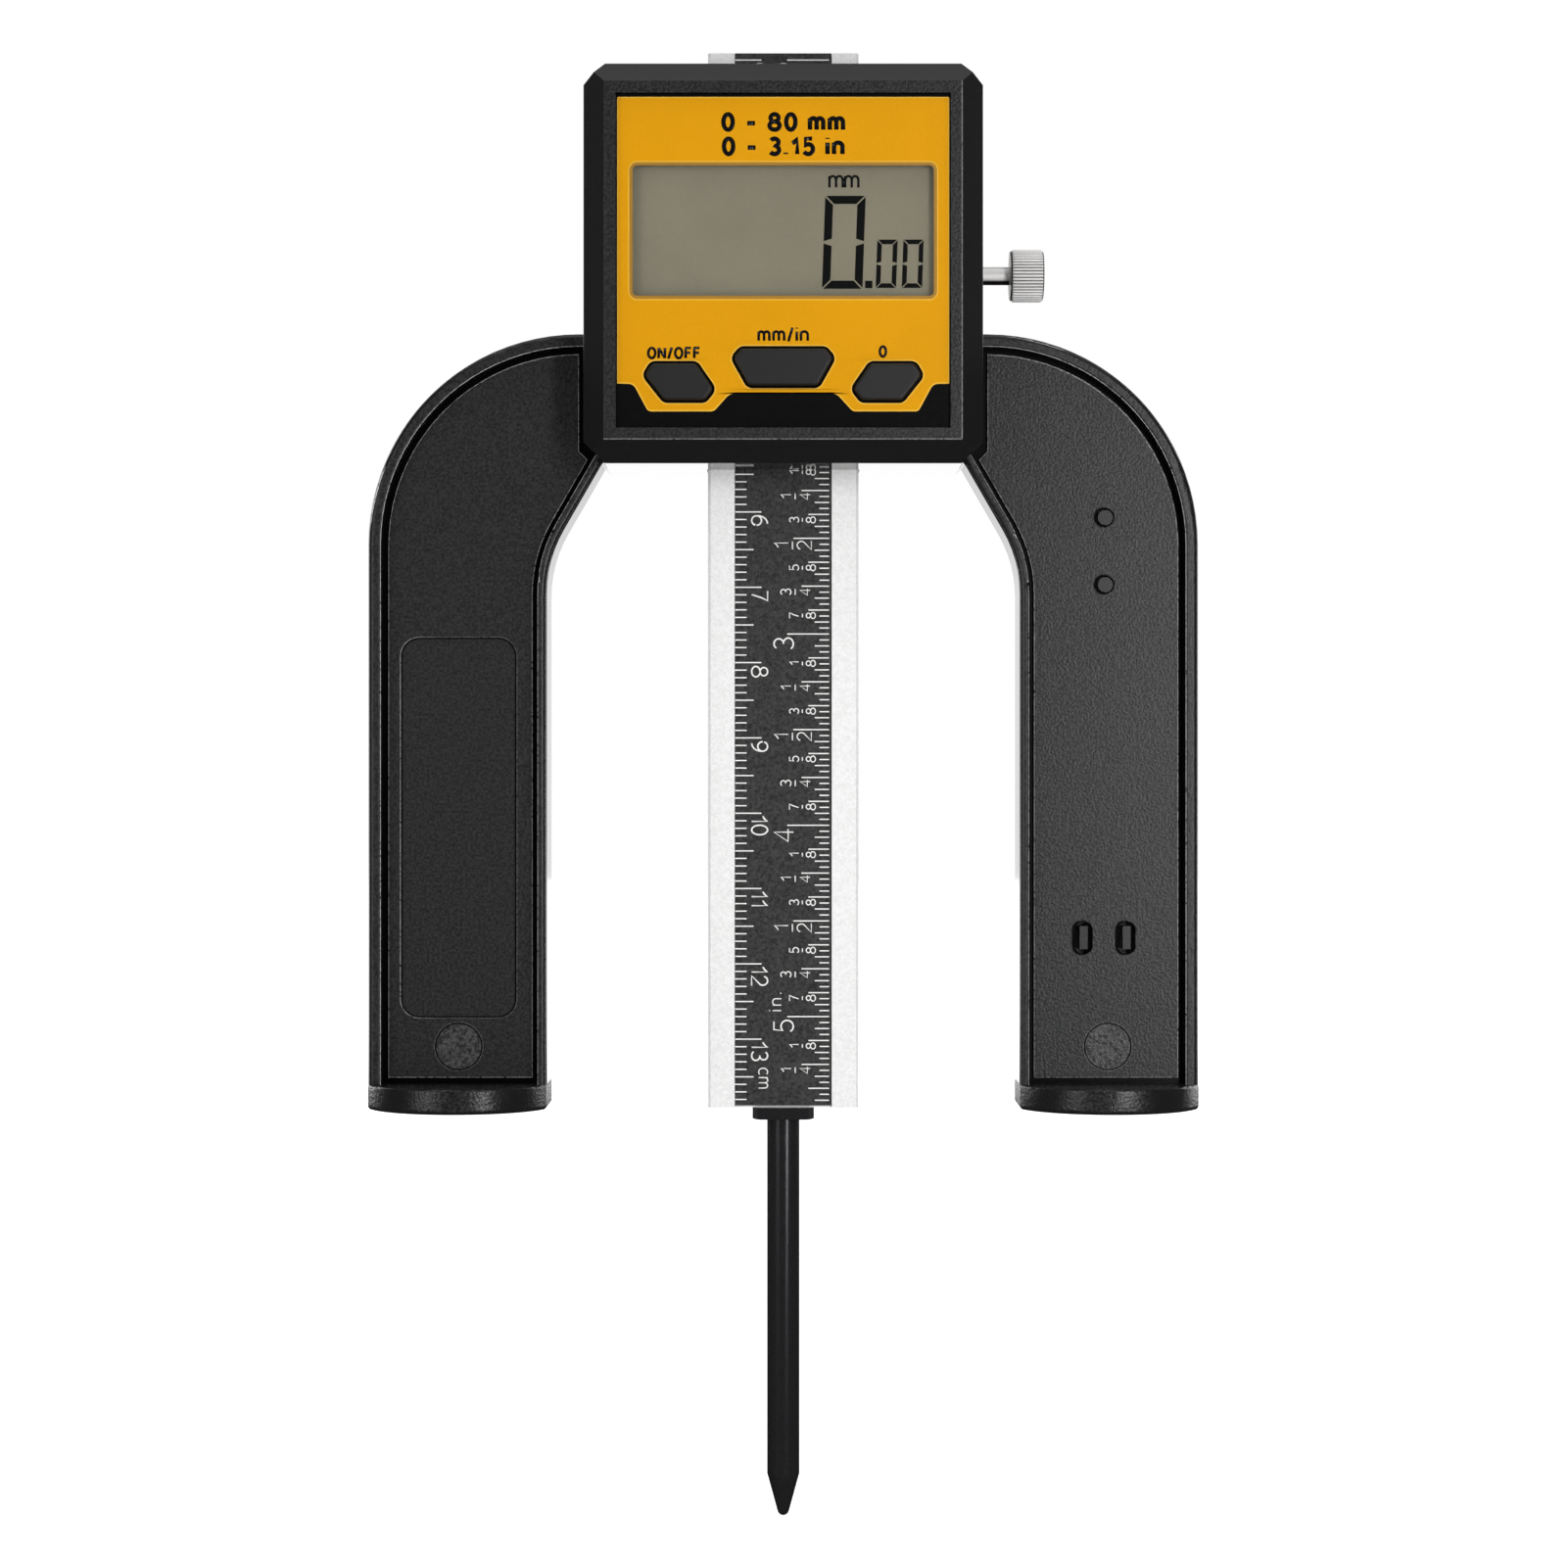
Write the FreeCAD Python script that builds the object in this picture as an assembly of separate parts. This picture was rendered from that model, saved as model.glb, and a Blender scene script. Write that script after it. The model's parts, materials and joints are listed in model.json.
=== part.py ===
import FreeCAD, Part
import math
import os

# Digital depth gauge on two magnetic feet, built as separate pieces.
#
# Millimetres. +X is the reader's right, +Y points away from the reader, +Z is up.
# The origin is where the scale bar's axis meets the plane of the foot soles.
# The bar is in its lowest place, with its lower end flush with the soles.

# ---- Driving dimensions ------------------------------------------------------

# Scale bar
bar_width = 20.0
bar_thickness = 4.0
bar_length = 140.0
bar_edge_chamfer = 0.35
label_width = 12.8
label_thickness = 0.15
grid_thickness = 0.35
label_end_gap = 0.3         # bare strip of bar below the label

# Clearances
bar_gap = 0.12              # bar to its channel, each side
running_gap = 0.05          # round shank in its hole, on the radius
seat_gap = 0.05             # a piece let into a seat where it stays
touch_gap = 0.025           # a spring or contact to the piece it presses on
sensor_gap = 0.2            # circuit board to the bar's front face
gib_end_gap = 0.25          # gib strip to each end of its slot
button_gap = 0.15           # button to the edge of its hole
glass_gap = 0.1             # display glass to the face plate
board_gap = 0.3             # circuit board to its cavity in the tray
boss_gap = 0.5              # circuit board to the screw bosses
screw_head_gap = 0.2        # case screw head to its recess, on the radius
contact_gap = 0.1           # battery contact to its slot, each side
clip_gap = 0.1              # spare probe rod to the holder's clips, each side
door_gap = 0.2              # battery door to its grooves

# Bridge: two legs joined by an arch, with round feet
bridge_width = 109.6
bridge_thickness = 10.0
leg_width = 23.6
arch_top = 102.4
arch_radius = 27.8
throat_top = 85.3
throat_flare = 7.3          # how far the throat draws in from each leg to the head
throat_slope = 30.0         # degrees from upright
throat_radius = 17.0
edge_round = 0.8
rim_width = 1.7
front_throat_rim = 1.25     # rim beside the throat, on the front
panel_recess = 2.0
moat_width = 0.75
moat_depth = 0.6
head_moat_extra = 0.3       # added to the moat's width beside the head
panel_edge_round = 0.2
rim_edge_round = 0.3
web_thickness = 3.0
foot_height = 3.3
foot_round = 0.6
foot_corner_round = 0.8
foot_top_round = 0.3
rib_thickness = 1.4
rib_count = 3
rib_inset = 0.8             # rib edge below the rear rim

# Small features on the leg panels
label_bay_width = 15.0
label_bay_height = 50.0
label_bay_bottom = 12.2
label_bay_radius = 2.3
label_bay_depth = 0.25
gate_mark_diameter = 6.0
gate_mark_height = 8.2
gate_mark_depth = 0.12

# Magnets let into the soles
magnet_diameter = 14.0
magnet_thickness = 2.2
magnet_set_back = 0.2

# Probe holder on the rear of the right leg
holder_width = 9.0
holder_shift = 0.3          # from the middle of the leg towards the bar
holder_bottom = 16.0
holder_top = 84.0
holder_plate = 1.2
holder_channel_depth = 4.6
holder_wall = 1.3
holder_clip_height = 12.0
holder_clip_margin = 8.0    # end of the plate to the nearer clip
holder_pin_diameter = 2.0
holder_pin_heights = (78.3, 69.4)
holder_pin_hole_gap = 0.18
hook_width = 1.05
hook_height = 3.05
hook_spacing = 5.7
hook_centre_height = 22.6
hook_slot_width = 2.3
hook_slot_height = 4.3
hook_slot_radius = 1.05
holder_pin_set_back = 0.25

# Head: a square box of two halves
head_size = 52.0
head_bottom = 84.7
head_corner_cut = 2.8
front_case_depth = 9.0
front_bevel = 2.8
case_edge_round = 0.2
rear_chamfer = 1.2
case_wall = 2.2
rear_wall = 2.0             # behind the pockets beside the bar
channel_wall = 1.9          # between the bar's channel and the pockets
window_size = 43.3
plate_recess = 0.6
plate_thickness = 1.2
plate_corner_radius = 0.3
ledge_width = 1.0
ledge_thickness = 1.2

# Display
view_width = 39.4
view_height = 17.3
view_rise = 3.9             # centre of the display above the head's centre
view_corner_radius = 0.8
glass_width = 40.9
glass_height = 20.7
glass_thickness = 2.0
holder_rim = 0.8            # display holder's wall beside the glass
holder_rail = 1.2           # display holder's wall above and below the glass
zebra_width = 36.0
zebra_thickness = 1.3
zebra_inset = 0.35          # connector to the glass edge

# Circuit board
board_thickness = 1.0
board_height = 45.6
chip_diameter = 9.0
chip_thickness = 1.5
chip_rise = 4.0
chip_edge_round = 0.9
board_screw_spacing_x = 32.4
board_screw_spacing_z = 41.0
board_screw_diameter = 1.6
board_screw_head_diameter = 3.0
board_screw_head_height = 0.8
board_screw_length = 4.5
board_screw_slot_depth = 0.4

# Buttons and their switches
side_button_x = 13.48
side_button_drop = 15.7     # centre below the head's centre
middle_button_drop = 13.8
side_button_outline = (
    (-3.52, 2.38), (2.18, 2.38), (4.46, -0.92), (3.32, -2.37), (-1.88, -2.37), (-4.45, 0.86),
)
middle_button_outline = (
    (-5.44, 2.4), (5.44, 2.4), (6.48, 1.22), (4.46, -2.37), (-4.46, -2.37), (-6.48, 1.22),
)
button_corner_radius = 0.85
button_front_round = 0.35
button_proud = 0.6
button_travel = 0.5
flange_overlap = 0.6
flange_thickness = 0.7
button_stem_diameter = 3.0
switch_size = 4.5
switch_height = 3.4
switch_plunger_diameter = 2.0
switch_plunger_height = 0.4
switch_free_gap = 0.1       # stem to plunger with the button pressed

# Screws that join the head halves
case_screw_spacing = 43.0
case_screw_diameter = 2.2
case_screw_length = 16.0
case_screw_head_diameter = 4.2
case_screw_head_height = 1.6
case_screw_head_round = 0.4
case_screw_sink = 2.0
boss_diameter = 4.8
cross_slot_width = 0.5
cross_slot_length = 2.3
cross_slot_depth = 0.8

# Gib strip and its springs
gib_thickness = 1.0
gib_height = 3.2
gib_length = 44.0
spring_room = 0.6
spring_thickness = 0.2
spring_width = 2.6
spring_length = 15.0
spring_offset = 12.2        # centre of each spring from the lock screw's axis

# Lock screw
shank_diameter = 2.4
knob_diameter = 6.95
knob_length = 4.4
knob_gap = 4.2              # knob to the head's side
knob_teeth = 48
knob_tooth_depth = 0.2
knob_inner_diameter = 6.4   # plain ring next to the head
knob_inner_ring = 0.45
knob_outer_bevel = 0.3
pad_length = 1.8
lock_gap = 0.1              # pad to gib strip
insert_diameter = 4.4
insert_length = 5.0
insert_set_back = 0.4
insert_wall = 1.3           # solid wall left above and below the insert

# Battery
cell_diameter = 20.0
cell_thickness = 3.2
cell_rise = 15.8            # cell's centre above the head's lower edge
cell_gap = 0.3
cell_cap_diameter = 17.6
cell_cap_height = 0.3
well_floor = 1.3
contact_thickness = 0.3
contact_width = 2.4
contact_room = 0.5
contact_dome_diameter = 2.4
contact_pad_diameter = 8.0
door_thickness = 1.4
door_cell_gap = 0.5
door_tongue_thickness = 0.5
door_tongue_width = 1.0
door_margin = 1.9           # well edge to door edge
door_rib_count = 5
door_rib_height = 0.3
door_rib_width = 0.7
door_rib_pitch = 1.8
door_rib_length = 12.0
door_rib_margin = 2.7       # lowest rib above the door's lower edge

# Probe
probe_rod_diameter = 4.3
probe_length = 54.5
probe_cone_length = 5.6
probe_tip_radius = 0.8
collar_diameter = 8.2
collar_thickness = 1.55
collar_flats = 5.4
stud_diameter = 2.5
stud_length = 7.0
stud_hole_extra = 1.0

# Stop screw in the back of the bar's top end
stop_head_diameter = 3.0
stop_head_height = 1.0
stop_shank_diameter = 1.6
stop_shank_length = 2.2
stop_slot_depth = 0.5

# Two places closer than this are the same place
same_place = 1e-4

# ---- Places worked out from them ---------------------------------------------

bar_front = -bar_thickness / 2
bar_back = bar_thickness / 2
bar_side = bar_width / 2

seam_y = -bridge_thickness / 2
bridge_back = bridge_thickness / 2
web_front = seam_y + panel_recess
web_back = web_front + web_thickness
foot_radius = math.hypot(leg_width / 2, bridge_thickness / 2)
leg_centre = (bridge_width - leg_width) / 2
holder_centre = leg_centre - holder_shift

head_half = head_size / 2
head_centre = head_bottom + head_half
head_top = head_bottom + head_size
case_front = seam_y - front_case_depth
plate_front = case_front + plate_recess
plate_back = plate_front + plate_thickness
cavity_front = plate_back + ledge_thickness
window_half = window_size / 2
ledge_half = window_half - ledge_width
plate_half = window_half - seat_gap

channel_back = bar_back + bar_gap
well_bottom = channel_back + well_floor
cell_front = well_bottom + contact_room
cell_back = cell_front + cell_thickness
door_front = cell_back + door_cell_gap
head_back = door_front + door_thickness
cell_radius = cell_diameter / 2
well_radius = cell_radius + cell_gap
cell_centre = head_bottom + cell_rise

board_back = bar_front - sensor_gap
board_front = board_back - board_thickness
case_screw_half = case_screw_spacing / 2
boss_radius = boss_diameter / 2
board_half = case_screw_half - boss_radius - boss_gap
board_z_half = board_height / 2
tray_cavity_half = board_half + board_gap
tray_cavity_z_half = board_z_half + board_gap

gib_inner = bar_side + bar_gap
gib_outer = gib_inner + gib_thickness
channel_right = gib_outer + spring_room
pad_inner = gib_outer + lock_gap
pad_outer = pad_inner + pad_length
shank_radius = shank_diameter / 2
shank_tip = pad_outer + seat_gap
knob_inner = head_half + knob_gap
knob_outer = knob_inner + knob_length
lock_height = head_centre
insert_radius = insert_diameter / 2
insert_outer = head_half - insert_set_back
insert_inner = insert_outer - insert_length

pocket_inner = channel_right + channel_wall
pocket_outer = board_half
pocket_back = head_back - rear_wall
pocket_z_half = board_screw_spacing_z / 2 - board_screw_head_diameter
lock_web_half = insert_radius + insert_wall

glass_front = plate_back + glass_gap
glass_back = glass_front + glass_thickness
view_centre = head_centre + view_rise
display_holder_front = cavity_front + seat_gap
display_holder_x = glass_width / 2 + holder_rim
display_holder_z = glass_height / 2 + holder_rail

button_front = plate_front - button_proud
flange_front = plate_back + button_gap
flange_back = flange_front + flange_thickness
switch_top = board_front - switch_height
plunger_top = switch_top - switch_plunger_height
stem_end = plunger_top - button_travel - switch_free_gap

door_half = well_radius + door_margin
door_bottom = head_bottom + door_gap
door_top = cell_centre + well_radius + door_margin
door_wide_half = door_half + door_tongue_width

stop_height = head_top + stop_head_diameter / 2 + seat_gap
contact_far_x = -pocket_inner - contact_room
minus_strip_z = cell_centre - contact_pad_diameter / 2 - contact_width / 2 + contact_thickness
screw_seat = head_back - case_screw_sink
screw_tip = screw_seat - case_screw_length


# ---- Small helpers -----------------------------------------------------------

def vec(x, y, z):
    return FreeCAD.Vector(x, y, z)


def box(x_span, y_span, z_span):
    """Box from the low and high value along each axis."""
    size = [high - low for low, high in (x_span, y_span, z_span)]
    return Part.makeBox(*size, vec(x_span[0], y_span[0], z_span[0]))


def centred_box(width, y_span, height, x=0.0, z=0.0):
    """Box centred at x and z, between two depths."""
    return box((x - width / 2, x + width / 2), y_span, (z - height / 2, z + height / 2))


def rod_x(radius, x_span, y=0.0, z=0.0):
    return Part.makeCylinder(radius, x_span[1] - x_span[0], vec(x_span[0], y, z), vec(1, 0, 0))


def rod_y(radius, y_span, x=0.0, z=0.0):
    return Part.makeCylinder(radius, y_span[1] - y_span[0], vec(x, y_span[0], z), vec(0, 1, 0))


def rod_z(radius, z_span, x=0.0, y=0.0):
    return Part.makeCylinder(radius, z_span[1] - z_span[0], vec(x, y, z_span[0]), vec(0, 0, 1))


def polygon_face(points):
    """Flat face in the XZ plane from (x, z) corners."""
    corners = [vec(x, 0, z) for x, z in points]
    return Part.Face(Part.makePolygon(corners + corners[:1]))


def rounded_face(points, radius):
    """Flat face in the XZ plane from (x, z) corners, each rounded by one radius."""
    corners = [vec(x, 0, z) for x, z in points]
    ends = []
    for i, here in enumerate(corners):
        back = (corners[i - 1] - here).normalize()
        on = (corners[(i + 1) % len(corners)] - here).normalize()
        half_angle = back.getAngle(on) / 2
        reach = radius / math.tan(half_angle)
        middle = (back + on).normalize()
        centre = here + middle * (radius / math.sin(half_angle))
        ends.append((here + back * reach, centre - middle * radius, here + on * reach))
    edges = []
    for i, (start, top, end) in enumerate(ends):
        edges.append(Part.Arc(start, top, end).toShape())
        edges.append(Part.makeLine(end, ends[(i + 1) % len(ends)][0]))
    return Part.Face(Part.Wire(edges))


def rounded_rectangle(width, height, radius, x=0.0, z=0.0):
    left, right = x - width / 2, x + width / 2
    low, high = z - height / 2, z + height / 2
    return rounded_face([(left, low), (right, low), (right, high), (left, high)], radius)


def prism(face, y_span):
    """Extrude a face of the XZ plane between two depths."""
    solid = face.extrude(vec(0, y_span[1] - y_span[0], 0))
    solid.translate(vec(0, y_span[0], 0))
    return solid


def offset_face(face, distance):
    """Grow (positive) or shrink (negative) a flat face, with sharp corners kept sharp."""
    extend_to_corners = 1
    return face.makeOffset2D(distance, extend_to_corners)


def edges_where(shape, test):
    return [edge for edge in shape.Edges if test(edge)]


def edge_lies_in_y(edge, y):
    return abs(edge.BoundBox.YMin - y) < same_place and abs(edge.BoundBox.YMax - y) < same_place


def join(shapes):
    """One clean solid from several that touch or overlap."""
    return shapes[0].fuse(shapes[1:]).removeSplitter()


def group(solids):
    return Part.makeCompound(solids)


# ---- Bridge ------------------------------------------------------------------

def bridge_outline(leg_bottom, throat_inset=0.0):
    """Front view of the bridge, with the legs ending at leg_bottom."""
    half = bridge_width / 2
    inner = half - leg_width - throat_inset
    arch_x = half - arch_radius
    arch_z = arch_top - arch_radius
    throat_x = inner - throat_flare
    slope = math.radians(throat_slope)
    bend_z = throat_top - throat_flare / math.tan(slope)
    reach = throat_radius * math.tan(slope / 2)
    diagonal = math.sqrt(0.5)

    def side(sign):
        """Points and arcs of one half, from the crown down to the throat's top."""
        crown = vec(sign * arch_x, 0, arch_top)
        shoulder = vec(sign * (arch_x + arch_radius * diagonal), 0, arch_z + arch_radius * diagonal)
        hip = vec(sign * half, 0, arch_z)
        outer_foot = vec(sign * half, 0, leg_bottom)
        inner_foot = vec(sign * inner, 0, leg_bottom)
        bend_low = vec(sign * inner, 0, bend_z - reach)
        bend_high = vec(sign * (inner - reach * math.sin(slope)), 0, bend_z + reach * math.cos(slope))
        centre_x = inner - throat_radius
        middle = vec(sign * (centre_x + throat_radius * math.cos(slope / 2)), 0,
                     bend_z - reach + throat_radius * math.sin(slope / 2))
        throat = vec(sign * throat_x, 0, throat_top)
        return [
            Part.Arc(crown, shoulder, hip).toShape(),
            Part.makeLine(hip, outer_foot),
            Part.makeLine(outer_foot, inner_foot),
            Part.makeLine(inner_foot, bend_low),
            Part.Arc(bend_low, middle, bend_high).toShape(),
            Part.makeLine(bend_high, throat),
        ]

    crown_line = Part.makeLine(vec(-arch_x, 0, arch_top), vec(arch_x, 0, arch_top))
    throat_line = Part.makeLine(vec(throat_x, 0, throat_top), vec(-throat_x, 0, throat_top))
    edges = [crown_line, throat_line] + side(1) + side(-1)
    return Part.Face(Part.Wire(Part.__sortEdges__(edges)))


def head_outline(inset=0.0):
    """Square with cut corners, the head seen from the front, drawn in by an even inset."""
    half = head_half - inset
    cut = head_corner_cut - inset * (2 - math.sqrt(2))
    low, high = head_centre - half, head_centre + half
    return polygon_face([
        (-half + cut, low), (half - cut, low), (half, low + cut), (half, high - cut),
        (half - cut, high), (-half + cut, high), (-half, high - cut), (-half, low + cut),
    ])


def leg_corner_tool(x, towards):
    """Cutter that rounds the sole edge where a leg's side meets it."""
    block = box((min(x, x + towards * foot_round), max(x, x + towards * foot_round)),
                (seam_y, bridge_back), (0, foot_round))
    return block.cut(rod_y(foot_round, (seam_y, bridge_back), x + towards * foot_round, foot_round))


def rim_border(throat_rim):
    """Front view of everything inside the bridge's rim, from foot to foot."""
    outline = bridge_outline(foot_height - rim_width, rim_width - throat_rim)
    return offset_face(outline, -rim_width)


def follows(edge, border):
    """Whether an edge runs along a face's outline in the XZ plane, seen from the front."""
    middle = edge.valueAt((edge.FirstParameter + edge.LastParameter) / 2)
    return Part.Vertex(middle.x, 0, middle.z).distToShape(border.OuterWire)[0] < same_place


def in_rim_face(edge):
    return edge_lies_in_y(edge, seam_y) or edge_lies_in_y(edge, bridge_back)


def bridge_frame():
    """Legs and arch, hollowed from the front and the back to a web between."""
    arch = prism(bridge_outline(0), (seam_y, bridge_back))
    rounded = edges_where(arch, lambda edge: in_rim_face(edge) and edge.BoundBox.ZMax > foot_height)
    arch = arch.makeFillet(edge_round, rounded)
    front = rim_border(front_throat_rim)
    back = rim_border(rim_width)
    arch = arch.cut(prism(front, (seam_y, web_front + moat_depth)))
    arch = arch.cut(prism(back, (web_back, bridge_back)))
    inner = edges_where(arch, lambda edge: edge_lies_in_y(edge, seam_y) and follows(edge, front)
                        or edge_lies_in_y(edge, bridge_back) and follows(edge, back))
    return arch.makeFillet(rim_edge_round, inner)


def foot(side):
    """Round foot whose edge runs through the leg's corners, flat where the leg's sides are."""
    middle = side * leg_centre
    block = rod_z(foot_radius, (0, foot_height), middle)
    block = block.common(centred_box(leg_width, (-foot_radius, foot_radius), foot_height,
                                     middle, foot_height / 2))
    uprights = edges_where(block, lambda edge: edge.BoundBox.ZLength > foot_height / 2)
    block = block.makeFillet(foot_corner_round, uprights)
    block = block.makeFillet(foot_round, edges_where(block, lambda edge: edge.BoundBox.ZMax < foot_height / 2))
    top_edge = edges_where(block, lambda edge: edge.BoundBox.ZMin > foot_height / 2)
    return block.makeFillet(foot_top_round, top_edge)


def bridge_shell():
    """Frame, feet and the head's tray, before the tray is hollowed."""
    arch = bridge_frame()
    for side in (-1, 1):
        arch = arch.cut(leg_corner_tool(side * bridge_width / 2, -side))
        arch = arch.cut(leg_corner_tool(side * (bridge_width / 2 - leg_width), side))
    tray = prism(head_outline(), (seam_y, head_back))
    tray = tray.makeChamfer(rear_chamfer, edges_where(tray, lambda edge: edge_lies_in_y(edge, head_back)))
    return join([arch, tray, foot(-1), foot(1)])


def panels():
    """Flat panels that stand in the front recesses, each with a moat all round."""
    pads = []
    inside = offset_face(rim_border(front_throat_rim), -moat_width)
    for outline in inside.cut(head_outline(-head_moat_extra - moat_width)).Faces:
        pad = prism(outline, (web_front, web_back))
        front_edges = edges_where(pad, lambda edge: edge_lies_in_y(edge, web_front))
        pads.append(pad.makeFillet(panel_edge_round, front_edges))
    return pads


def panel_marks():
    """Label bay on the left panel and the round gate marks on both."""
    bay_centre = label_bay_bottom + label_bay_height / 2
    bay = rounded_rectangle(label_bay_width, label_bay_height, label_bay_radius, -leg_centre, bay_centre)
    marks = [prism(bay, (web_front, web_front + label_bay_depth))]
    for side in (-1, 1):
        marks.append(rod_y(gate_mark_diameter / 2, (web_front, web_front + gate_mark_depth),
                           side * leg_centre, gate_mark_height))
    return marks


def holder_openings():
    """Holes in the right web for the probe holder's pins and hooks."""
    through = (web_front, web_back)
    radius = holder_pin_diameter / 2 + holder_pin_hole_gap
    holes = [rod_y(radius, through, holder_centre, height) for height in holder_pin_heights]
    for side in (-1, 1):
        slot = rounded_rectangle(hook_slot_width, hook_slot_height, hook_slot_radius,
                                 holder_centre + side * hook_spacing / 2, hook_centre_height)
        holes.append(prism(slot, through))
    return holes


def rear_ribs():
    """Cross ribs that stiffen the hollow back of the left leg."""
    inner = leg_width - 2 * rim_width
    top = throat_top - foot_height
    return [centred_box(inner, (web_back, bridge_back - rib_inset), rib_thickness,
                        -leg_centre, foot_height + top * (i + 1) / (rib_count + 1))
            for i in range(rib_count)]


def magnet_place(side, extra=0.0):
    top = magnet_set_back + magnet_thickness + extra
    return rod_z(magnet_diameter / 2 + extra, (0, top), side * leg_centre)


def bar_channel():
    """Way for the bar through the tray, with room for the gib strip on the right."""
    way = box((-bar_side - bar_gap, bar_side + bar_gap), (board_back, channel_back), (head_bottom, head_top))
    gib_room = gib_length / 2 + gib_end_gap
    gib_way = box((bar_side, channel_right), (board_back, gib_height / 2 + seat_gap),
                  (lock_height - gib_room, lock_height + gib_room))
    return [way, gib_way]


def tray_cutters():
    centre = head_centre
    cuts = bar_channel()
    board_y = (seam_y, board_back)
    cuts.append(centred_box(2 * tray_cavity_half, board_y, 2 * tray_cavity_z_half, 0, centre))
    for side in (-1, 1):
        x_span = sorted((side * pocket_inner, side * pocket_outer))
        pocket_y = (board_back, pocket_back)
        cuts.append(box(x_span, pocket_y, (centre - pocket_z_half, lock_height - lock_web_half)))
        cuts.append(box(x_span, pocket_y, (lock_height + lock_web_half, centre + pocket_z_half)))
        for level in (-1, 1):
            x, z = side * case_screw_half, centre + level * case_screw_half
            cuts.append(rod_y(case_screw_diameter / 2 + running_gap, (seam_y, head_back), x, z))
            cuts.append(rod_y(case_screw_head_diameter / 2 + screw_head_gap, (screw_seat, head_back), x, z))
            x, z = side * board_screw_spacing_x / 2, centre + level * board_screw_spacing_z / 2
            depth = board_screw_length - board_thickness + seat_gap
            cuts.append(rod_y(board_screw_diameter / 2 + seat_gap, (board_back, board_back + depth), x, z))
    return cuts


def lock_cutters():
    bore = rod_x(shank_radius + running_gap, (gib_outer, head_half), 0, lock_height)
    seat = rod_x(insert_radius + seat_gap, (insert_inner - seat_gap, head_half), 0, lock_height)
    return [bore, seat]


def battery_cutters():
    """Cell well, door recess with its grooves, and slots for the two contacts."""
    recess_z = (head_bottom, door_top + door_gap)
    groove_half = door_wide_half + door_gap
    groove_back = door_front + door_tongue_thickness + door_gap
    leg_x = contact_far_x - contact_thickness - contact_gap
    strip = contact_width / 2 + contact_gap
    minus_z = (minus_strip_z - strip, minus_strip_z + strip)
    plus_z = (cell_centre - strip, cell_centre + strip)
    blade_x = -cell_radius - contact_thickness - contact_gap
    plus_back = cell_back + contact_gap
    plus_front = cell_back - contact_thickness - 2 * contact_gap
    return [
        rod_y(well_radius, (well_bottom, head_back), 0, cell_centre),
        box((-door_half - door_gap, door_half + door_gap), (door_front - door_gap, head_back), recess_z),
        box((-groove_half, groove_half), (door_front - door_gap, groove_back), recess_z),
        box((leg_x, 0), (well_bottom, well_bottom + contact_thickness + 2 * contact_gap), minus_z),
        box((blade_x, -cell_radius / 2), (cell_front - contact_gap, plus_back), plus_z),
        box((leg_x, -cell_radius), (plus_front, plus_back), plus_z),
    ]


def bridge_body():
    body = join([bridge_shell()] + panels())
    body = body.cut(group(panel_marks()))
    body = body.cut(group(holder_openings()))
    body = join([body] + rear_ribs())
    body = body.cut(group([magnet_place(side, seat_gap) for side in (-1, 1)]))
    body = body.cut(group(tray_cutters()))
    body = body.cut(group(lock_cutters()))
    body = body.cut(group(battery_cutters()))
    return body


def magnet(side):
    span = (magnet_set_back, magnet_set_back + magnet_thickness)
    return rod_z(magnet_diameter / 2, span, side * leg_centre)


def probe_holder():
    """Plate with two channel clips, two locating pins and two snap hooks."""
    back = web_back + seat_gap
    plate_end = back + holder_plate
    height = holder_top - holder_bottom
    centre = (holder_top + holder_bottom) / 2
    parts = [centred_box(holder_width, (back, plate_end), height, holder_centre, centre)]
    clip_offset = height / 2 - holder_clip_margin - holder_clip_height / 2
    channel = probe_rod_diameter + 2 * clip_gap
    for level in (-1, 1):
        for side in (-1, 1):
            x = holder_centre + side * (channel + holder_wall) / 2
            clip_y = (plate_end, plate_end + holder_channel_depth)
            z = centre + level * clip_offset
            parts.append(centred_box(holder_wall, clip_y, holder_clip_height, x, z))
    pin_front = web_front + holder_pin_set_back
    for pin_height in holder_pin_heights:
        parts.append(rod_y(holder_pin_diameter / 2, (pin_front, plate_end), holder_centre, pin_height))
    for side in (-1, 1):
        parts.append(centred_box(hook_width, (pin_front + holder_pin_set_back, plate_end), hook_height,
                                 holder_centre + side * hook_spacing / 2, hook_centre_height))
    return join(parts)


# ---- Front of the head -------------------------------------------------------

def case_screw_places():
    return [(x * case_screw_half, head_centre + z * case_screw_half) for x in (-1, 1) for z in (-1, 1)]


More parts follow.
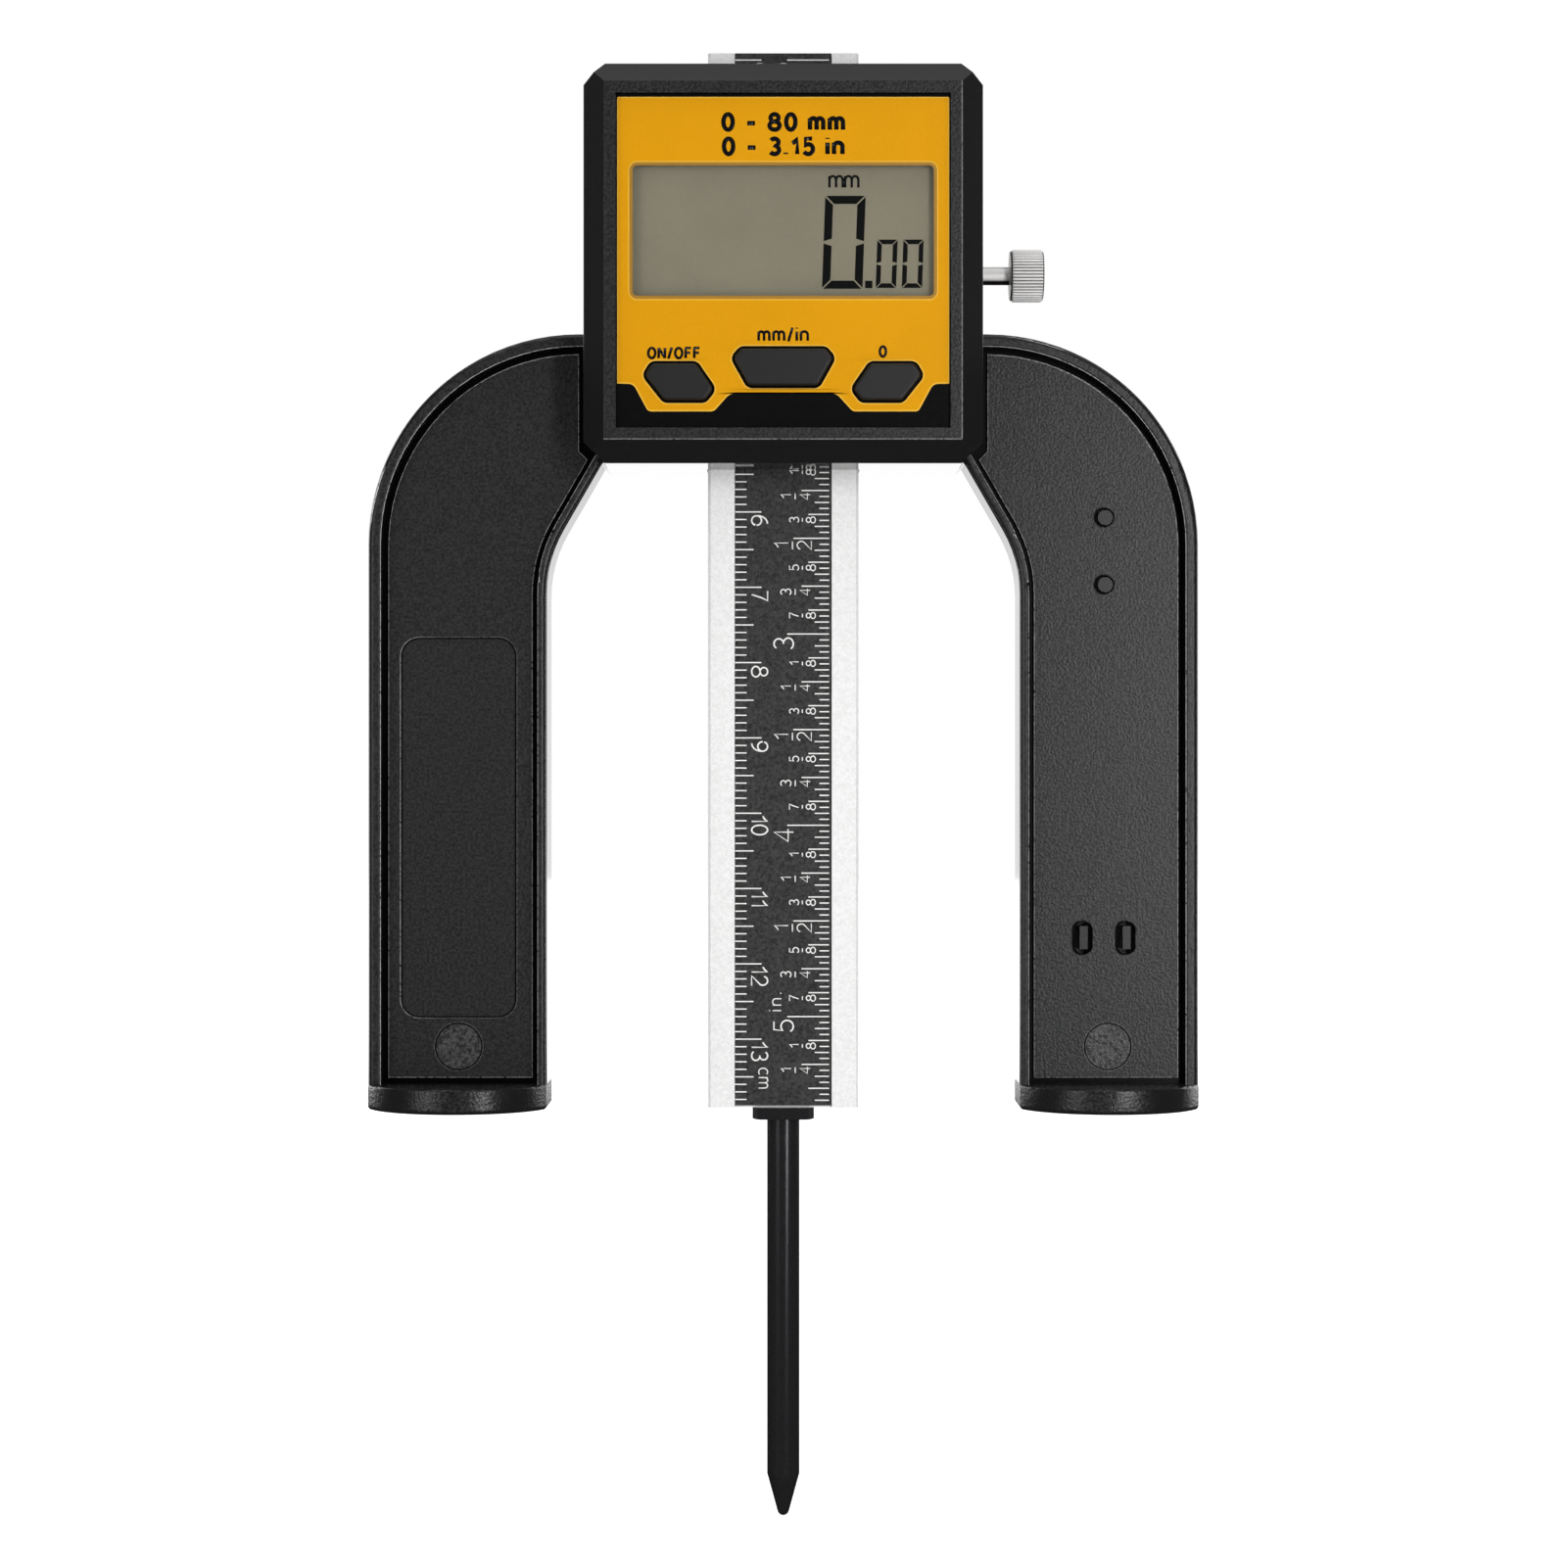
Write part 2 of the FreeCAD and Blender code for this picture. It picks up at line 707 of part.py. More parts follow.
def front_case():
    """Front half: square box with a bevelled front, cut corners and four screw bosses."""
    bevel_back = case_front + front_bevel
    wide = polygon_face(square(head_half)).translated(vec(0, bevel_back, 0))
    narrow = polygon_face(square(head_half - front_bevel)).translated(vec(0, case_front, 0))
    bevel = Part.makeLoft([wide.OuterWire, narrow.OuterWire], True, True)
    block = join([prism(polygon_face(square(head_half)), (bevel_back, seam_y)), bevel])
    block = block.common(prism(head_outline(), (case_front, seam_y)))
    front_edges = edges_where(block, lambda edge: edge.BoundBox.YMax < seam_y - same_place)
    block = block.makeFillet(case_edge_round, front_edges)
    hollow = prism(head_outline(case_wall), (cavity_front, seam_y))
    window = centred_box(window_size, (case_front, plate_back), window_size, 0, head_centre)
    ledge = centred_box(2 * ledge_half, (case_front, seam_y), 2 * ledge_half, 0, head_centre)
    shell = block.cut(group([hollow, window, ledge]))
    bosses = [rod_y(boss_radius, (cavity_front, seam_y), x, z) for x, z in case_screw_places()]
    shell = join([shell] + bosses)
    holes = [rod_y(case_screw_diameter / 2 + running_gap, (screw_tip - seat_gap, seam_y), x, z)
             for x, z in case_screw_places()]
    return shell.cut(group(holes))


def square(half):
    low, high = head_centre - half, head_centre + half
    return [(-half, low), (half, low), (half, high), (-half, high)]


def button_face(outline, centre_x, drop, flip=1):
    """Front view of one button, from its own outline about its centre."""
    points = [(centre_x + flip * x, head_centre - drop + z) for x, z in outline]
    if flip < 0:
        points.reverse()
    return rounded_face(points, button_corner_radius)


def button_faces():
    return {
        "left_button": button_face(side_button_outline, -side_button_x, side_button_drop),
        "middle_button": button_face(middle_button_outline, 0.0, middle_button_drop),
        "right_button": button_face(side_button_outline, side_button_x, side_button_drop, -1),
    }


def button_centres():
    return [(-side_button_x, head_centre - side_button_drop), (0.0, head_centre - middle_button_drop),
            (side_button_x, head_centre - side_button_drop)]


def face_plate():
    plate = prism(rounded_rectangle(2 * plate_half, 2 * plate_half, plate_corner_radius, 0, head_centre),
                  (plate_front, plate_back))
    view = rounded_rectangle(view_width, view_height, view_corner_radius, 0, view_centre)
    cuts = [prism(view, (plate_front, plate_back))]
    for face in button_faces().values():
        cuts.append(prism(offset_face(face, button_gap), (plate_front, plate_back)))
    return plate.cut(group(cuts))


def lcd_window():
    opening = rounded_rectangle(view_width, view_height, view_corner_radius, 0, view_centre)
    return prism(offset_face(opening, -seat_gap), (plate_front + seat_gap, plate_back - seat_gap))


def button(face, centre):
    """Cap, retaining flange behind the plate and stem down to the switch."""
    cap = prism(face, (button_front, flange_front))
    front_edges = edges_where(cap, lambda edge: edge_lies_in_y(edge, button_front))
    cap = cap.makeFillet(button_front_round, front_edges)
    flange = prism(offset_face(face, flange_overlap), (flange_front, flange_back))
    stem = rod_y(button_stem_diameter / 2, (flange_back, stem_end), *centre)
    return join([cap, flange, stem])


def lcd_glass():
    return centred_box(glass_width, (glass_front, glass_back), glass_height, 0, view_centre)


def zebra_spans():
    """Heights of the two rubber connectors, at the glass's lower and upper edges."""
    reach = glass_height / 2 - zebra_inset
    lower = (view_centre - reach, view_centre - reach + zebra_thickness)
    upper = (view_centre + reach - zebra_thickness, view_centre + reach)
    return [lower, upper]


def zebra_strips():
    return group([box((-zebra_width / 2, zebra_width / 2), (glass_back, board_front), span)
                  for span in zebra_spans()])


def lcd_holder():
    """Frame that seats the glass behind the case's ledge and guides the connectors."""

    def display_box(width, y_span, height):
        return centred_box(width, y_span, height, 0, view_centre)

    block = display_box(2 * display_holder_x, (display_holder_front, seam_y), 2 * display_holder_z)
    seat_width = glass_width + 2 * seat_gap
    seat = display_box(seat_width, (display_holder_front, glass_back), glass_height + 2 * seat_gap)
    rail = zebra_inset + zebra_thickness + holder_rim
    hollow = display_box(zebra_width, (glass_back, seam_y), glass_height - 2 * rail)
    slot_half = zebra_width / 2 + seat_gap
    slots = [box((-slot_half, slot_half), (glass_back, seam_y), (low - seat_gap, high + seat_gap))
             for low, high in zebra_spans()]
    return block.cut(group([seat, hollow] + slots))


# ---- Circuit board -----------------------------------------------------------

def board_screw_places():
    return [(x * board_screw_spacing_x / 2, head_centre + z * board_screw_spacing_z / 2)
            for x in (-1, 1) for z in (-1, 1)]


def main_board():
    board = centred_box(2 * board_half, (board_front, board_back), board_height, 0, head_centre)
    radius = board_screw_diameter / 2 + running_gap
    return board.cut(group([rod_y(radius, (board_front, board_back), x, z) for x, z in board_screw_places()]))


def control_chip():
    """Low round blob of resin over the bonded chip."""
    top = board_front - chip_thickness
    blob = rod_y(chip_diameter / 2, (top, board_front), 0, head_centre + chip_rise)
    return blob.makeFillet(chip_edge_round, edges_where(blob, lambda edge: edge_lies_in_y(edge, top)))


def tact_switches():
    switches = []
    for x, z in button_centres():
        body = centred_box(switch_size, (switch_top, board_front), switch_size, x, z)
        plunger = rod_y(switch_plunger_diameter / 2, (plunger_top, switch_top), x, z)
        switches.append(join([body, plunger]))
    return group(switches)


def cross_slot(y_span, x, z):
    return [centred_box(cross_slot_length, y_span, cross_slot_width, x, z),
            centred_box(cross_slot_width, y_span, cross_slot_length, x, z)]


def board_screws():
    screws = []
    head_front = board_front - board_screw_head_height
    for x, z in board_screw_places():
        head = rod_y(board_screw_head_diameter / 2, (head_front, board_front), x, z)
        shank = rod_y(board_screw_diameter / 2, (board_front, board_front + board_screw_length), x, z)
        slot = cross_slot((head_front, head_front + board_screw_slot_depth), x, z)
        screws.append(join([head, shank]).cut(group(slot)))
    return group(screws)


def case_screws():
    screws = []
    top = screw_seat + case_screw_head_height
    for x, z in case_screw_places():
        head = rod_y(case_screw_head_diameter / 2, (screw_seat, top), x, z)
        top_edge = edges_where(head, lambda edge: edge_lies_in_y(edge, top))
        head = head.makeFillet(case_screw_head_round, top_edge)
        shank = rod_y(case_screw_diameter / 2, (screw_tip, screw_seat), x, z)
        screws.append(join([head, shank]).cut(group(cross_slot((top - cross_slot_depth, top), x, z))))
    return group(screws)


# ---- Bar guide and lock ------------------------------------------------------

def gib_strip():
    return centred_box(gib_thickness, (-gib_height / 2, gib_height / 2), gib_length,
                       (gib_inner + gib_outer) / 2, lock_height)


def bow(x, rise, z_centre):
    """Arc in the XZ plane that bulges by rise towards +X over one spring's length."""
    half = spring_length / 2
    low, high = vec(x, 0, z_centre - half), vec(x, 0, z_centre + half)
    return Part.Arc(low, vec(x + rise, 0, z_centre), high).toShape()


def gib_springs():
    """Two bowed leaves between the gib strip and the channel wall."""
    springs = []
    rise = spring_room - spring_thickness - 2 * touch_gap
    for side in (-1, 1):
        centre = lock_height + side * spring_offset
        inner = bow(gib_outer + touch_gap, rise, centre)
        outer = bow(gib_outer + touch_gap + spring_thickness, rise, centre)
        ends = [Part.makeLine(inner.Vertexes[i].Point, outer.Vertexes[i].Point) for i in (0, 1)]
        face = Part.Face(Part.Wire(Part.__sortEdges__([inner, outer] + ends)))
        springs.append(prism(face, (-spring_width / 2, spring_width / 2)))
    return group(springs)


def lock_insert():
    sleeve = rod_x(insert_radius, (insert_inner, insert_outer), 0, lock_height)
    return sleeve.cut(rod_x(shank_radius + running_gap, (insert_inner, insert_outer), 0, lock_height))


def lock_pad():
    return rod_x(shank_radius, (pad_inner, pad_outer), 0, lock_height)


def knurled_disc():
    """Prism along X with one V groove between each pair of teeth."""
    outer = knob_diameter / 2
    inner = outer - knob_tooth_depth
    corners = []
    for i in range(2 * knob_teeth):
        angle = math.pi * i / knob_teeth
        radius = outer if i % 2 == 0 else inner
        corners.append(vec(knob_inner, radius * math.cos(angle), lock_height + radius * math.sin(angle)))
    return Part.Face(Part.makePolygon(corners + corners[:1])).extrude(vec(knob_length, 0, 0))


def turned_about_x(profile):
    """Solid of revolution about the lock screw's axis from (x, radius) corners."""
    corners = [vec(x, 0, lock_height + radius) for x, radius in profile]
    face = Part.Face(Part.makePolygon(corners + corners[:1]))
    return face.revolve(vec(0, 0, lock_height), vec(1, 0, 0), 360)


def lock_screw():
    outer = knob_diameter / 2
    ring = knob_inner_diameter / 2
    ring_end = knob_inner + knob_inner_ring
    blank = turned_about_x([
        (knob_inner, 0), (knob_inner, ring), (ring_end, outer),
        (knob_outer - knob_outer_bevel, outer), (knob_outer, outer - knob_outer_bevel), (knob_outer, 0),
    ])
    knob = knurled_disc().common(blank)
    collar = rod_x(ring, (knob_inner, ring_end), 0, lock_height)
    shank = rod_x(shank_radius, (shank_tip, ring_end), 0, lock_height)
    return join([knob, collar, shank])


# ---- Battery -----------------------------------------------------------------

def coin_cell():
    can = rod_y(cell_radius, (cell_front + cell_cap_height, cell_back), 0, cell_centre)
    can = can.makeFillet(cell_cap_height, edges_where(can, lambda edge: edge_lies_in_y(edge, cell_back)))
    cap = rod_y(cell_cap_diameter / 2, (cell_front, cell_front + cell_cap_height), 0, cell_centre)
    return join([can, cap])


def contact_strip(x_span, y_span, z):
    return box(x_span, y_span, (z - contact_width / 2, z + contact_width / 2))


def contact_leg(y_far, z):
    """Strip from the battery well forward to the circuit board, through the left pocket."""
    return contact_strip((contact_far_x - contact_thickness, contact_far_x), (board_back, y_far), z)


def battery_contact_minus():
    front = well_bottom + touch_gap
    back = front + contact_thickness
    pad = rod_y(contact_pad_diameter / 2, (front, back), 0, cell_centre)
    dome = rod_y(contact_dome_diameter / 2, (back, cell_front), 0, cell_centre)
    strip = contact_strip((contact_far_x, 0), (front, back), minus_strip_z)
    return join([pad, dome, strip, contact_leg(back, minus_strip_z)])


def battery_contact_plus():
    inner = -cell_radius - touch_gap
    blade = contact_strip((inner - contact_thickness, inner), (cell_front, cell_back), cell_centre)
    strip = contact_strip((contact_far_x, inner), (cell_back - contact_thickness, cell_back), cell_centre)
    return join([blade, strip, contact_leg(cell_back, cell_centre)])


def battery_door():
    """Sliding cover with a tongue along each side and finger ribs near its lower edge."""
    panel = box((-door_half, door_half), (door_front, head_back), (door_bottom, door_top))
    tongue_back = door_front + door_tongue_thickness
    tongues = box((-door_wide_half, door_wide_half), (door_front, tongue_back), (door_bottom, door_top))
    ribs = []
    for i in range(door_rib_count):
        z = door_bottom + door_rib_margin + door_rib_pitch * i
        rib_y = (head_back - door_rib_height, head_back + door_rib_height)
        ribs.append(centred_box(door_rib_length, rib_y, door_rib_width, 0, z))
    return join([panel, tongues] + ribs)


# ---- Bar, label and probe ----------------------------------------------------

def scale_bar():
    bar = box((-bar_side, bar_side), (bar_front, bar_back), (0, bar_length))
    upright = edges_where(bar, lambda edge: edge.BoundBox.ZLength > bar_length / 2)
    bar = bar.makeChamfer(bar_edge_chamfer, upright)
    groove_half = label_width / 2 + seat_gap
    groove_back = bar_front + label_thickness + grid_thickness
    groove = box((-groove_half, groove_half), (bar_front, groove_back), (0, bar_length))
    stud_hole = rod_z(stud_diameter / 2 + running_gap, (0, stud_length + stud_hole_extra))
    stop_y = (bar_back - stop_shank_length, bar_back)
    stop_hole = rod_y(stop_shank_diameter / 2 + running_gap, stop_y, 0, stop_height)
    return bar.cut(group([groove, stud_hole, stop_hole]))


def scale_layer(y_span):
    return box((-label_width / 2, label_width / 2), y_span, (label_end_gap, bar_length))


def scale_label():
    return scale_layer((bar_front, bar_front + label_thickness))


def scale_grid():
    front = bar_front + label_thickness
    return scale_layer((front, front + grid_thickness))


def stop_screw():
    top = bar_back + stop_head_height
    head = rod_y(stop_head_diameter / 2, (bar_back, top), 0, stop_height)
    tip = bar_back - stop_shank_length + seat_gap
    shank = rod_y(stop_shank_diameter / 2, (tip, bar_back), 0, stop_height)
    return join([head, shank]).cut(group(cross_slot((top - stop_slot_depth, top), 0, stop_height)))


def probe():
    """Rod with a conical point, a collar with two flats and a stud that screws into the bar."""
    rod = probe_rod_diameter / 2
    collar = collar_diameter / 2
    stud = stud_diameter / 2
    tip_centre = -probe_length + probe_tip_radius
    cone_top = -probe_length + probe_cone_length
    slope = math.atan2(rod - probe_tip_radius, cone_top - tip_centre)

    def on_tip(angle):
        """Point of the rounded tip, at an angle below the horizontal."""
        return vec(probe_tip_radius * math.cos(angle), 0, tip_centre - probe_tip_radius * math.sin(angle))

    corners = [
        on_tip(slope), vec(rod, 0, cone_top), vec(rod, 0, -collar_thickness),
        vec(collar, 0, -collar_thickness), vec(collar, 0, 0), vec(stud, 0, 0),
        vec(stud, 0, stud_length), vec(0, 0, stud_length), vec(0, 0, -probe_length),
    ]
    edges = [Part.makeLine(a, b) for a, b in zip(corners, corners[1:])]
    edges.append(Part.Arc(corners[-1], on_tip((math.pi / 2 + slope) / 2), corners[0]).toShape())
    body = Part.Face(Part.Wire(edges)).revolve(vec(0, 0, 0), vec(0, 0, 1), 360)
    for side in (-1, 1):
        y_span = sorted((side * collar_flats / 2, side * collar))
        body = body.cut(box((-collar, collar), y_span, (-collar_thickness, 0)))
    return body


# ---- All pieces --------------------------------------------------------------

def all_pieces():
    faces = button_faces()
    centres = dict(zip(faces, button_centres()))
    pieces = {
        "bridge_body": bridge_body(),
        "left_magnet": magnet(-1),
        "right_magnet": magnet(1),
        "probe_holder": probe_holder(),
        "front_case": front_case(),
        "face_plate": face_plate(),
        "lcd_window": lcd_window(),
        "lcd_glass": lcd_glass(),
        "lcd_holder": lcd_holder(),
        "zebra_strips": zebra_strips(),
        "main_board": main_board(),
        "control_chip": control_chip(),
        "tact_switches": tact_switches(),
        "board_screws": board_screws(),
        "case_screws": case_screws(),
        "gib_strip": gib_strip(),
        "gib_springs": gib_springs(),
        "lock_insert": lock_insert(),
        "lock_pad": lock_pad(),
        "lock_screw": lock_screw(),
        "coin_cell": coin_cell(),
        "battery_contact_plus": battery_contact_plus(),
        "battery_contact_minus": battery_contact_minus(),
        "battery_door": battery_door(),
        "scale_bar": scale_bar(),
        "scale_label": scale_label(),
        "scale_grid": scale_grid(),
        "stop_screw": stop_screw(),
        "probe": probe(),
    }
    for name, face in faces.items():
        pieces[name] = button(face, centres[name])
    return pieces


def main():
    os.makedirs("parts", exist_ok=True)
    for name, shape in all_pieces().items():
        shape.exportStep(os.path.join("parts", name + ".step"))


main()
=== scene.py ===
import json
import math

import bpy
from bpy.props import FloatProperty, FloatVectorProperty, PointerProperty
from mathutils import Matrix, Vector


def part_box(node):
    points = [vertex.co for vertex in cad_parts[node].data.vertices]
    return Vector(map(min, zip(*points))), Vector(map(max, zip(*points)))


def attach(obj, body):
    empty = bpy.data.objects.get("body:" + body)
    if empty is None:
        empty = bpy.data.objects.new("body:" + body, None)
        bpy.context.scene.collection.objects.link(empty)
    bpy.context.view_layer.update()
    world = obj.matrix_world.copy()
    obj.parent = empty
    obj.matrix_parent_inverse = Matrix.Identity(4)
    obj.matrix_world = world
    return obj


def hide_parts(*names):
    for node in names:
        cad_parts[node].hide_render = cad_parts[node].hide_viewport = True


bl_info = {
    "name": "Depth Gauge",
    "version": (1, 0, 0),
    "blender": (4, 5, 0),
    "location": "3D View > Sidebar > Depth Gauge",
    "description": "Finishes, printed scale, display and studio for a digital depth gauge",
    "category": "Object",
}

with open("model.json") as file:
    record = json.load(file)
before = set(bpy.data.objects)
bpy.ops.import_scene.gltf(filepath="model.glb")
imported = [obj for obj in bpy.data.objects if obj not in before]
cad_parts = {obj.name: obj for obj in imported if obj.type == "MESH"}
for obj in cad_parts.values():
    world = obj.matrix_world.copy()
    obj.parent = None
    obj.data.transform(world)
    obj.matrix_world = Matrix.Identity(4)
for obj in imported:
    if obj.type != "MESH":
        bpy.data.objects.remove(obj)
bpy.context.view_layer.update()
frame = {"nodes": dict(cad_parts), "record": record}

MM = 0.001


def linear(code):
    """Linear colour from an sRGB hex code."""
    parts = [int(code[i:i + 2], 16) / 255 for i in (1, 3, 5)]
    return tuple(c / 12.92 if c <= 0.04045 else ((c + 0.055) / 1.055) ** 2.4 for c in parts)


def opaque(colour):
    return (*colour[:3], 1.0)


# ---- Places taken from the frame ---------------------------------------------

LABEL_LOW, LABEL_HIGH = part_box("scale_label")
WINDOW_LOW, WINDOW_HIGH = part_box("lcd_window")
CASE_LOW, CASE_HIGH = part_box("front_case")
KNOB_LOW, KNOB_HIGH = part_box("lock_screw")
MAGNET_LOW, MAGNET_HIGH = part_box("right_magnet")
LABEL_FRONT = LABEL_LOW[1]
PLATE_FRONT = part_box("face_plate")[0][1]
GLASS_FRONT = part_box("lcd_glass")[0][1]
DOOR_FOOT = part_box("battery_door")[0][2]
FLOOR_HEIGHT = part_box("probe")[0][2]
LEG_CENTRE = (MAGNET_LOW[0] + MAGNET_HIGH[0]) / 2
RIM_FRONT = CASE_HIGH[1]        # front of the bridge's rim, level with the joint between the head's halves

# ---- Places and sizes known from the pieces ----------------------------------

PANEL_FRONT = RIM_FRONT + 2.0 * MM
MOAT_FLOOR = PANEL_FRONT + 0.6 * MM     # of the groove round each leg's panel
FRONT_BEVEL = 2.8 * MM
FOOT_TOP = 3.35 * MM
BAY_CENTRE = (-LEG_CENTRE, 0.0, 37.2 * MM)
BAY_CORNER = 2.3 * MM
BAY_SIDE = 7.5 * MM             # bay's middle to its side walls
BAY_REACH = (BAY_SIDE - BAY_CORNER, 0.0, 25.0 * MM - BAY_CORNER)    # its middle to its corners' centres
DOOR_BACK = 9.02 * MM           # the battery door's outer face
GATE_MARK = (LEG_CENTRE, 0.0, 8.2 * MM)
GATE_MARK_RADIUS = 3.0 * MM
HOLDER_CENTRE = LEG_CENTRE - 0.3 * MM
KNURL_DEPTH = 0.2 * MM
KNOB_LENGTH = 4.5 * MM
SHANK_RADIUS = 1.2 * MM

# Painted shadows to the left of the probe holder's two pins and two hooks. Per pair: its name, the middle
# between both, moved to the left, from there to each, half its straight sides, and how far beyond them it
# goes.
PAINTED_SHADOWS = (
    ("pin", (HOLDER_CENTRE - 0.26 * MM, 0.0, 73.85 * MM), (0.0, 0.0, 4.45 * MM), (0.0, 0.0, 0.0), 1.24 * MM),
    ("hook", (HOLDER_CENTRE - 0.315 * MM, 0.0, 22.6 * MM), (2.85 * MM, 0.0, 0.0), (0.1 * MM, 0.0, 1.1 * MM),
     1.09 * MM),
)

BODY_OF = {node: body for body, nodes in frame["record"]["behaviour"]["bodies"].items() for node in nodes}


# ---- What a user may change --------------------------------------------------

def length_setting(name, description, default):
    return FloatProperty(name=name, description=description, default=default, unit="LENGTH", precision=5)


def colour_setting(name, description, code):
    return FloatVectorProperty(name=name, description=description, default=linear(code), size=3,
                               min=0.0, max=1.0, subtype="COLOR")


class GaugeSizes(bpy.types.PropertyGroup):
    tick_width: length_setting("Tick width", "Width of a graduation line", 0.16 * MM)
    numeral_height: length_setting("Centimetre numeral", "Height of the centimetre numerals", 2.12 * MM)
    inch_height: length_setting("Inch numeral", "Height of the inch numerals", 2.58 * MM)
    numeral_stroke: length_setting("Numeral stroke", "Line width of the large numerals", 0.22 * MM)
    fraction_stroke: length_setting("Fraction stroke", "Line width of the fractions", 0.16 * MM)
    ink_thickness: length_setting("Ink thickness", "Thickness of printed marks", 0.04 * MM)
    # The light line round the yellow field is a painted highlight.
    outline_width: length_setting("Outline width", "Light line round the yellow field", 0.17 * MM)
    floor_size: length_setting("Floor size", "Edge of the square studio floor", 6.0)


class GaugeColours(bpy.types.PropertyGroup):
    body: colour_setting("Body plastic", "Moulded plastic of bridge and head", "#202020")
    button: colour_setting("Button plastic", "Moulded plastic of the buttons", "#1B1B1B")
    # The field's light outline is a painted highlight.
    field: colour_setting("Field", "Printed field of the face plate", "#DE9B02")
    field_edge: colour_setting("Field outline", "Light outline of the printed field", "#EDB840")
    ink: colour_setting("Black ink", "Lettering and lower part of the face plate", "#0A0A0B")
    display: colour_setting("Display", "Ground of the display", "#8E8976")
    segment: colour_setting("Segment", "Dark segments of the display", "#060708")
    label: colour_setting("Ruler film", "Ground of the ruler", "#2E2E2E")
    marks: colour_setting("Ruler marks", "Graduations and numerals of the ruler", "#F2F2F0")
    aluminium: colour_setting("Aluminium", "Blasted aluminium of the bar", "#FBFBFA")
    probe: colour_setting("Probe", "Black oxide steel of the probe", "#3E3E40")
    nickel: colour_setting("Nickel", "Plating of the lock screw", "#FFFBF9")


# ---- Mesh helpers ------------------------------------------------------------

SAME_PLACE = 0.001 * MM         # pieces' corners closer than this are one
SAME_POINT = 1e-7               # the same for the corners of drawn shapes
SMOOTH_BELOW = 32.0             # degrees between two faces that are shaded as one


def select_only(obj):
    bpy.ops.object.select_all(action="DESELECT")
    obj.select_set(True)
    bpy.context.view_layer.objects.active = obj


def apply_place(obj):
    """Put the object's place into its mesh."""
    select_only(obj)
    bpy.ops.object.transform_apply(location=True, rotation=True, scale=True)


def curve_to_mesh(curve):
    """Object with the curve's shape as a clean mesh."""
    obj = bpy.data.objects.new(curve.name, curve)
    bpy.context.collection.objects.link(obj)
    select_only(obj)
    bpy.ops.object.convert(target="MESH")
    bpy.ops.object.mode_set(mode="EDIT")
    bpy.ops.mesh.select_all(action="SELECT")
    bpy.ops.mesh.remove_doubles(threshold=SAME_POINT)
    bpy.ops.mesh.normals_make_consistent(inside=False)
    bpy.ops.object.mode_set(mode="OBJECT")
    return obj


def add_spline(curve, points, closed):
    spline = curve.splines.new("POLY")
    spline.points.add(len(points) - 1)
    for point, (x, y) in zip(spline.points, points):
        point.co = (x, y, 0.0, 1.0)
    spline.use_cyclic_u = closed


def flat_shape(name, loops, thickness):
    """Flat plate in the XY plane from closed outlines, inner ones being holes."""
    curve = bpy.data.curves.new(name, "CURVE")
    curve.dimensions = "2D"
    curve.fill_mode = "BOTH"
    curve.extrude = thickness / 2
    for loop in loops:
        add_spline(curve, loop, True)
    return curve_to_mesh(curve)


def stroke_shape(name, strokes, width, thickness):
    """Flattened line of one width along each stroke, in the XY plane."""
    curve = bpy.data.curves.new(name, "CURVE")
    curve.dimensions = "3D"
    curve.bevel_depth = width / 2
    curve.bevel_resolution = 2
    curve.use_fill_caps = True
    for points, closed in strokes:
        add_spline(curve, points, closed)
    obj = curve_to_mesh(curve)
    obj.scale = (1.0, 1.0, thickness / width)
    apply_place(obj)
    return obj


def stand_up(obj, depth):
    """Turn a flat shape from the XY plane to face the reader, at a depth."""
    obj.rotation_euler = (math.pi / 2, 0.0, 0.0)
    obj.location = (0.0, depth, 0.0)
    apply_place(obj)


def join(objects, name):
    select_only(objects[0])
    for obj in objects:
        obj.select_set(True)
    bpy.ops.object.join()
    objects[0].name = name
    return objects[0]


def paint(obj, *materials):
    obj.data.materials.clear()
    for material in materials:
        obj.data.materials.append(material)


def dress(material, *nodes):
    """Show CAD nodes as merged, smoothly shaded copies in a finish, each standing for its node."""
    for node in nodes:
        piece = bpy.data.objects.new(node + "_finished", frame["nodes"][node].data.copy())
        bpy.context.collection.objects.link(piece)
        select_only(piece)
        bpy.ops.mesh.customdata_custom_splitnormals_clear()
        bpy.ops.object.mode_set(mode="EDIT")
        bpy.ops.mesh.select_all(action="SELECT")
        bpy.ops.mesh.remove_doubles(threshold=SAME_PLACE)
        bpy.ops.object.mode_set(mode="OBJECT")
        bpy.ops.object.shade_smooth_by_angle(angle=math.radians(SMOOTH_BELOW))
        # Large flat faces decide the normals at their edges, so that only the rounds between them curve.
        weighted = piece.modifiers.new("weighted", "WEIGHTED_NORMAL")
        weighted.keep_sharp = True
        weighted.weight = 100
        bpy.ops.object.modifier_apply(modifier=weighted.name)
        paint(piece, material)
        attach(piece, BODY_OF[node])
        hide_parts(node)


# ---- Outlines ----------------------------------------------------------------

def arc(cx, cy, rx, ry, start, end, steps=14):
    angles = [math.radians(start + (end - start) * i / steps) for i in range(steps + 1)]
    return [(cx + rx * math.cos(a), cy + ry * math.sin(a)) for a in angles]


ROUND_STEPS = 6                 # lines that each rounded corner is drawn with


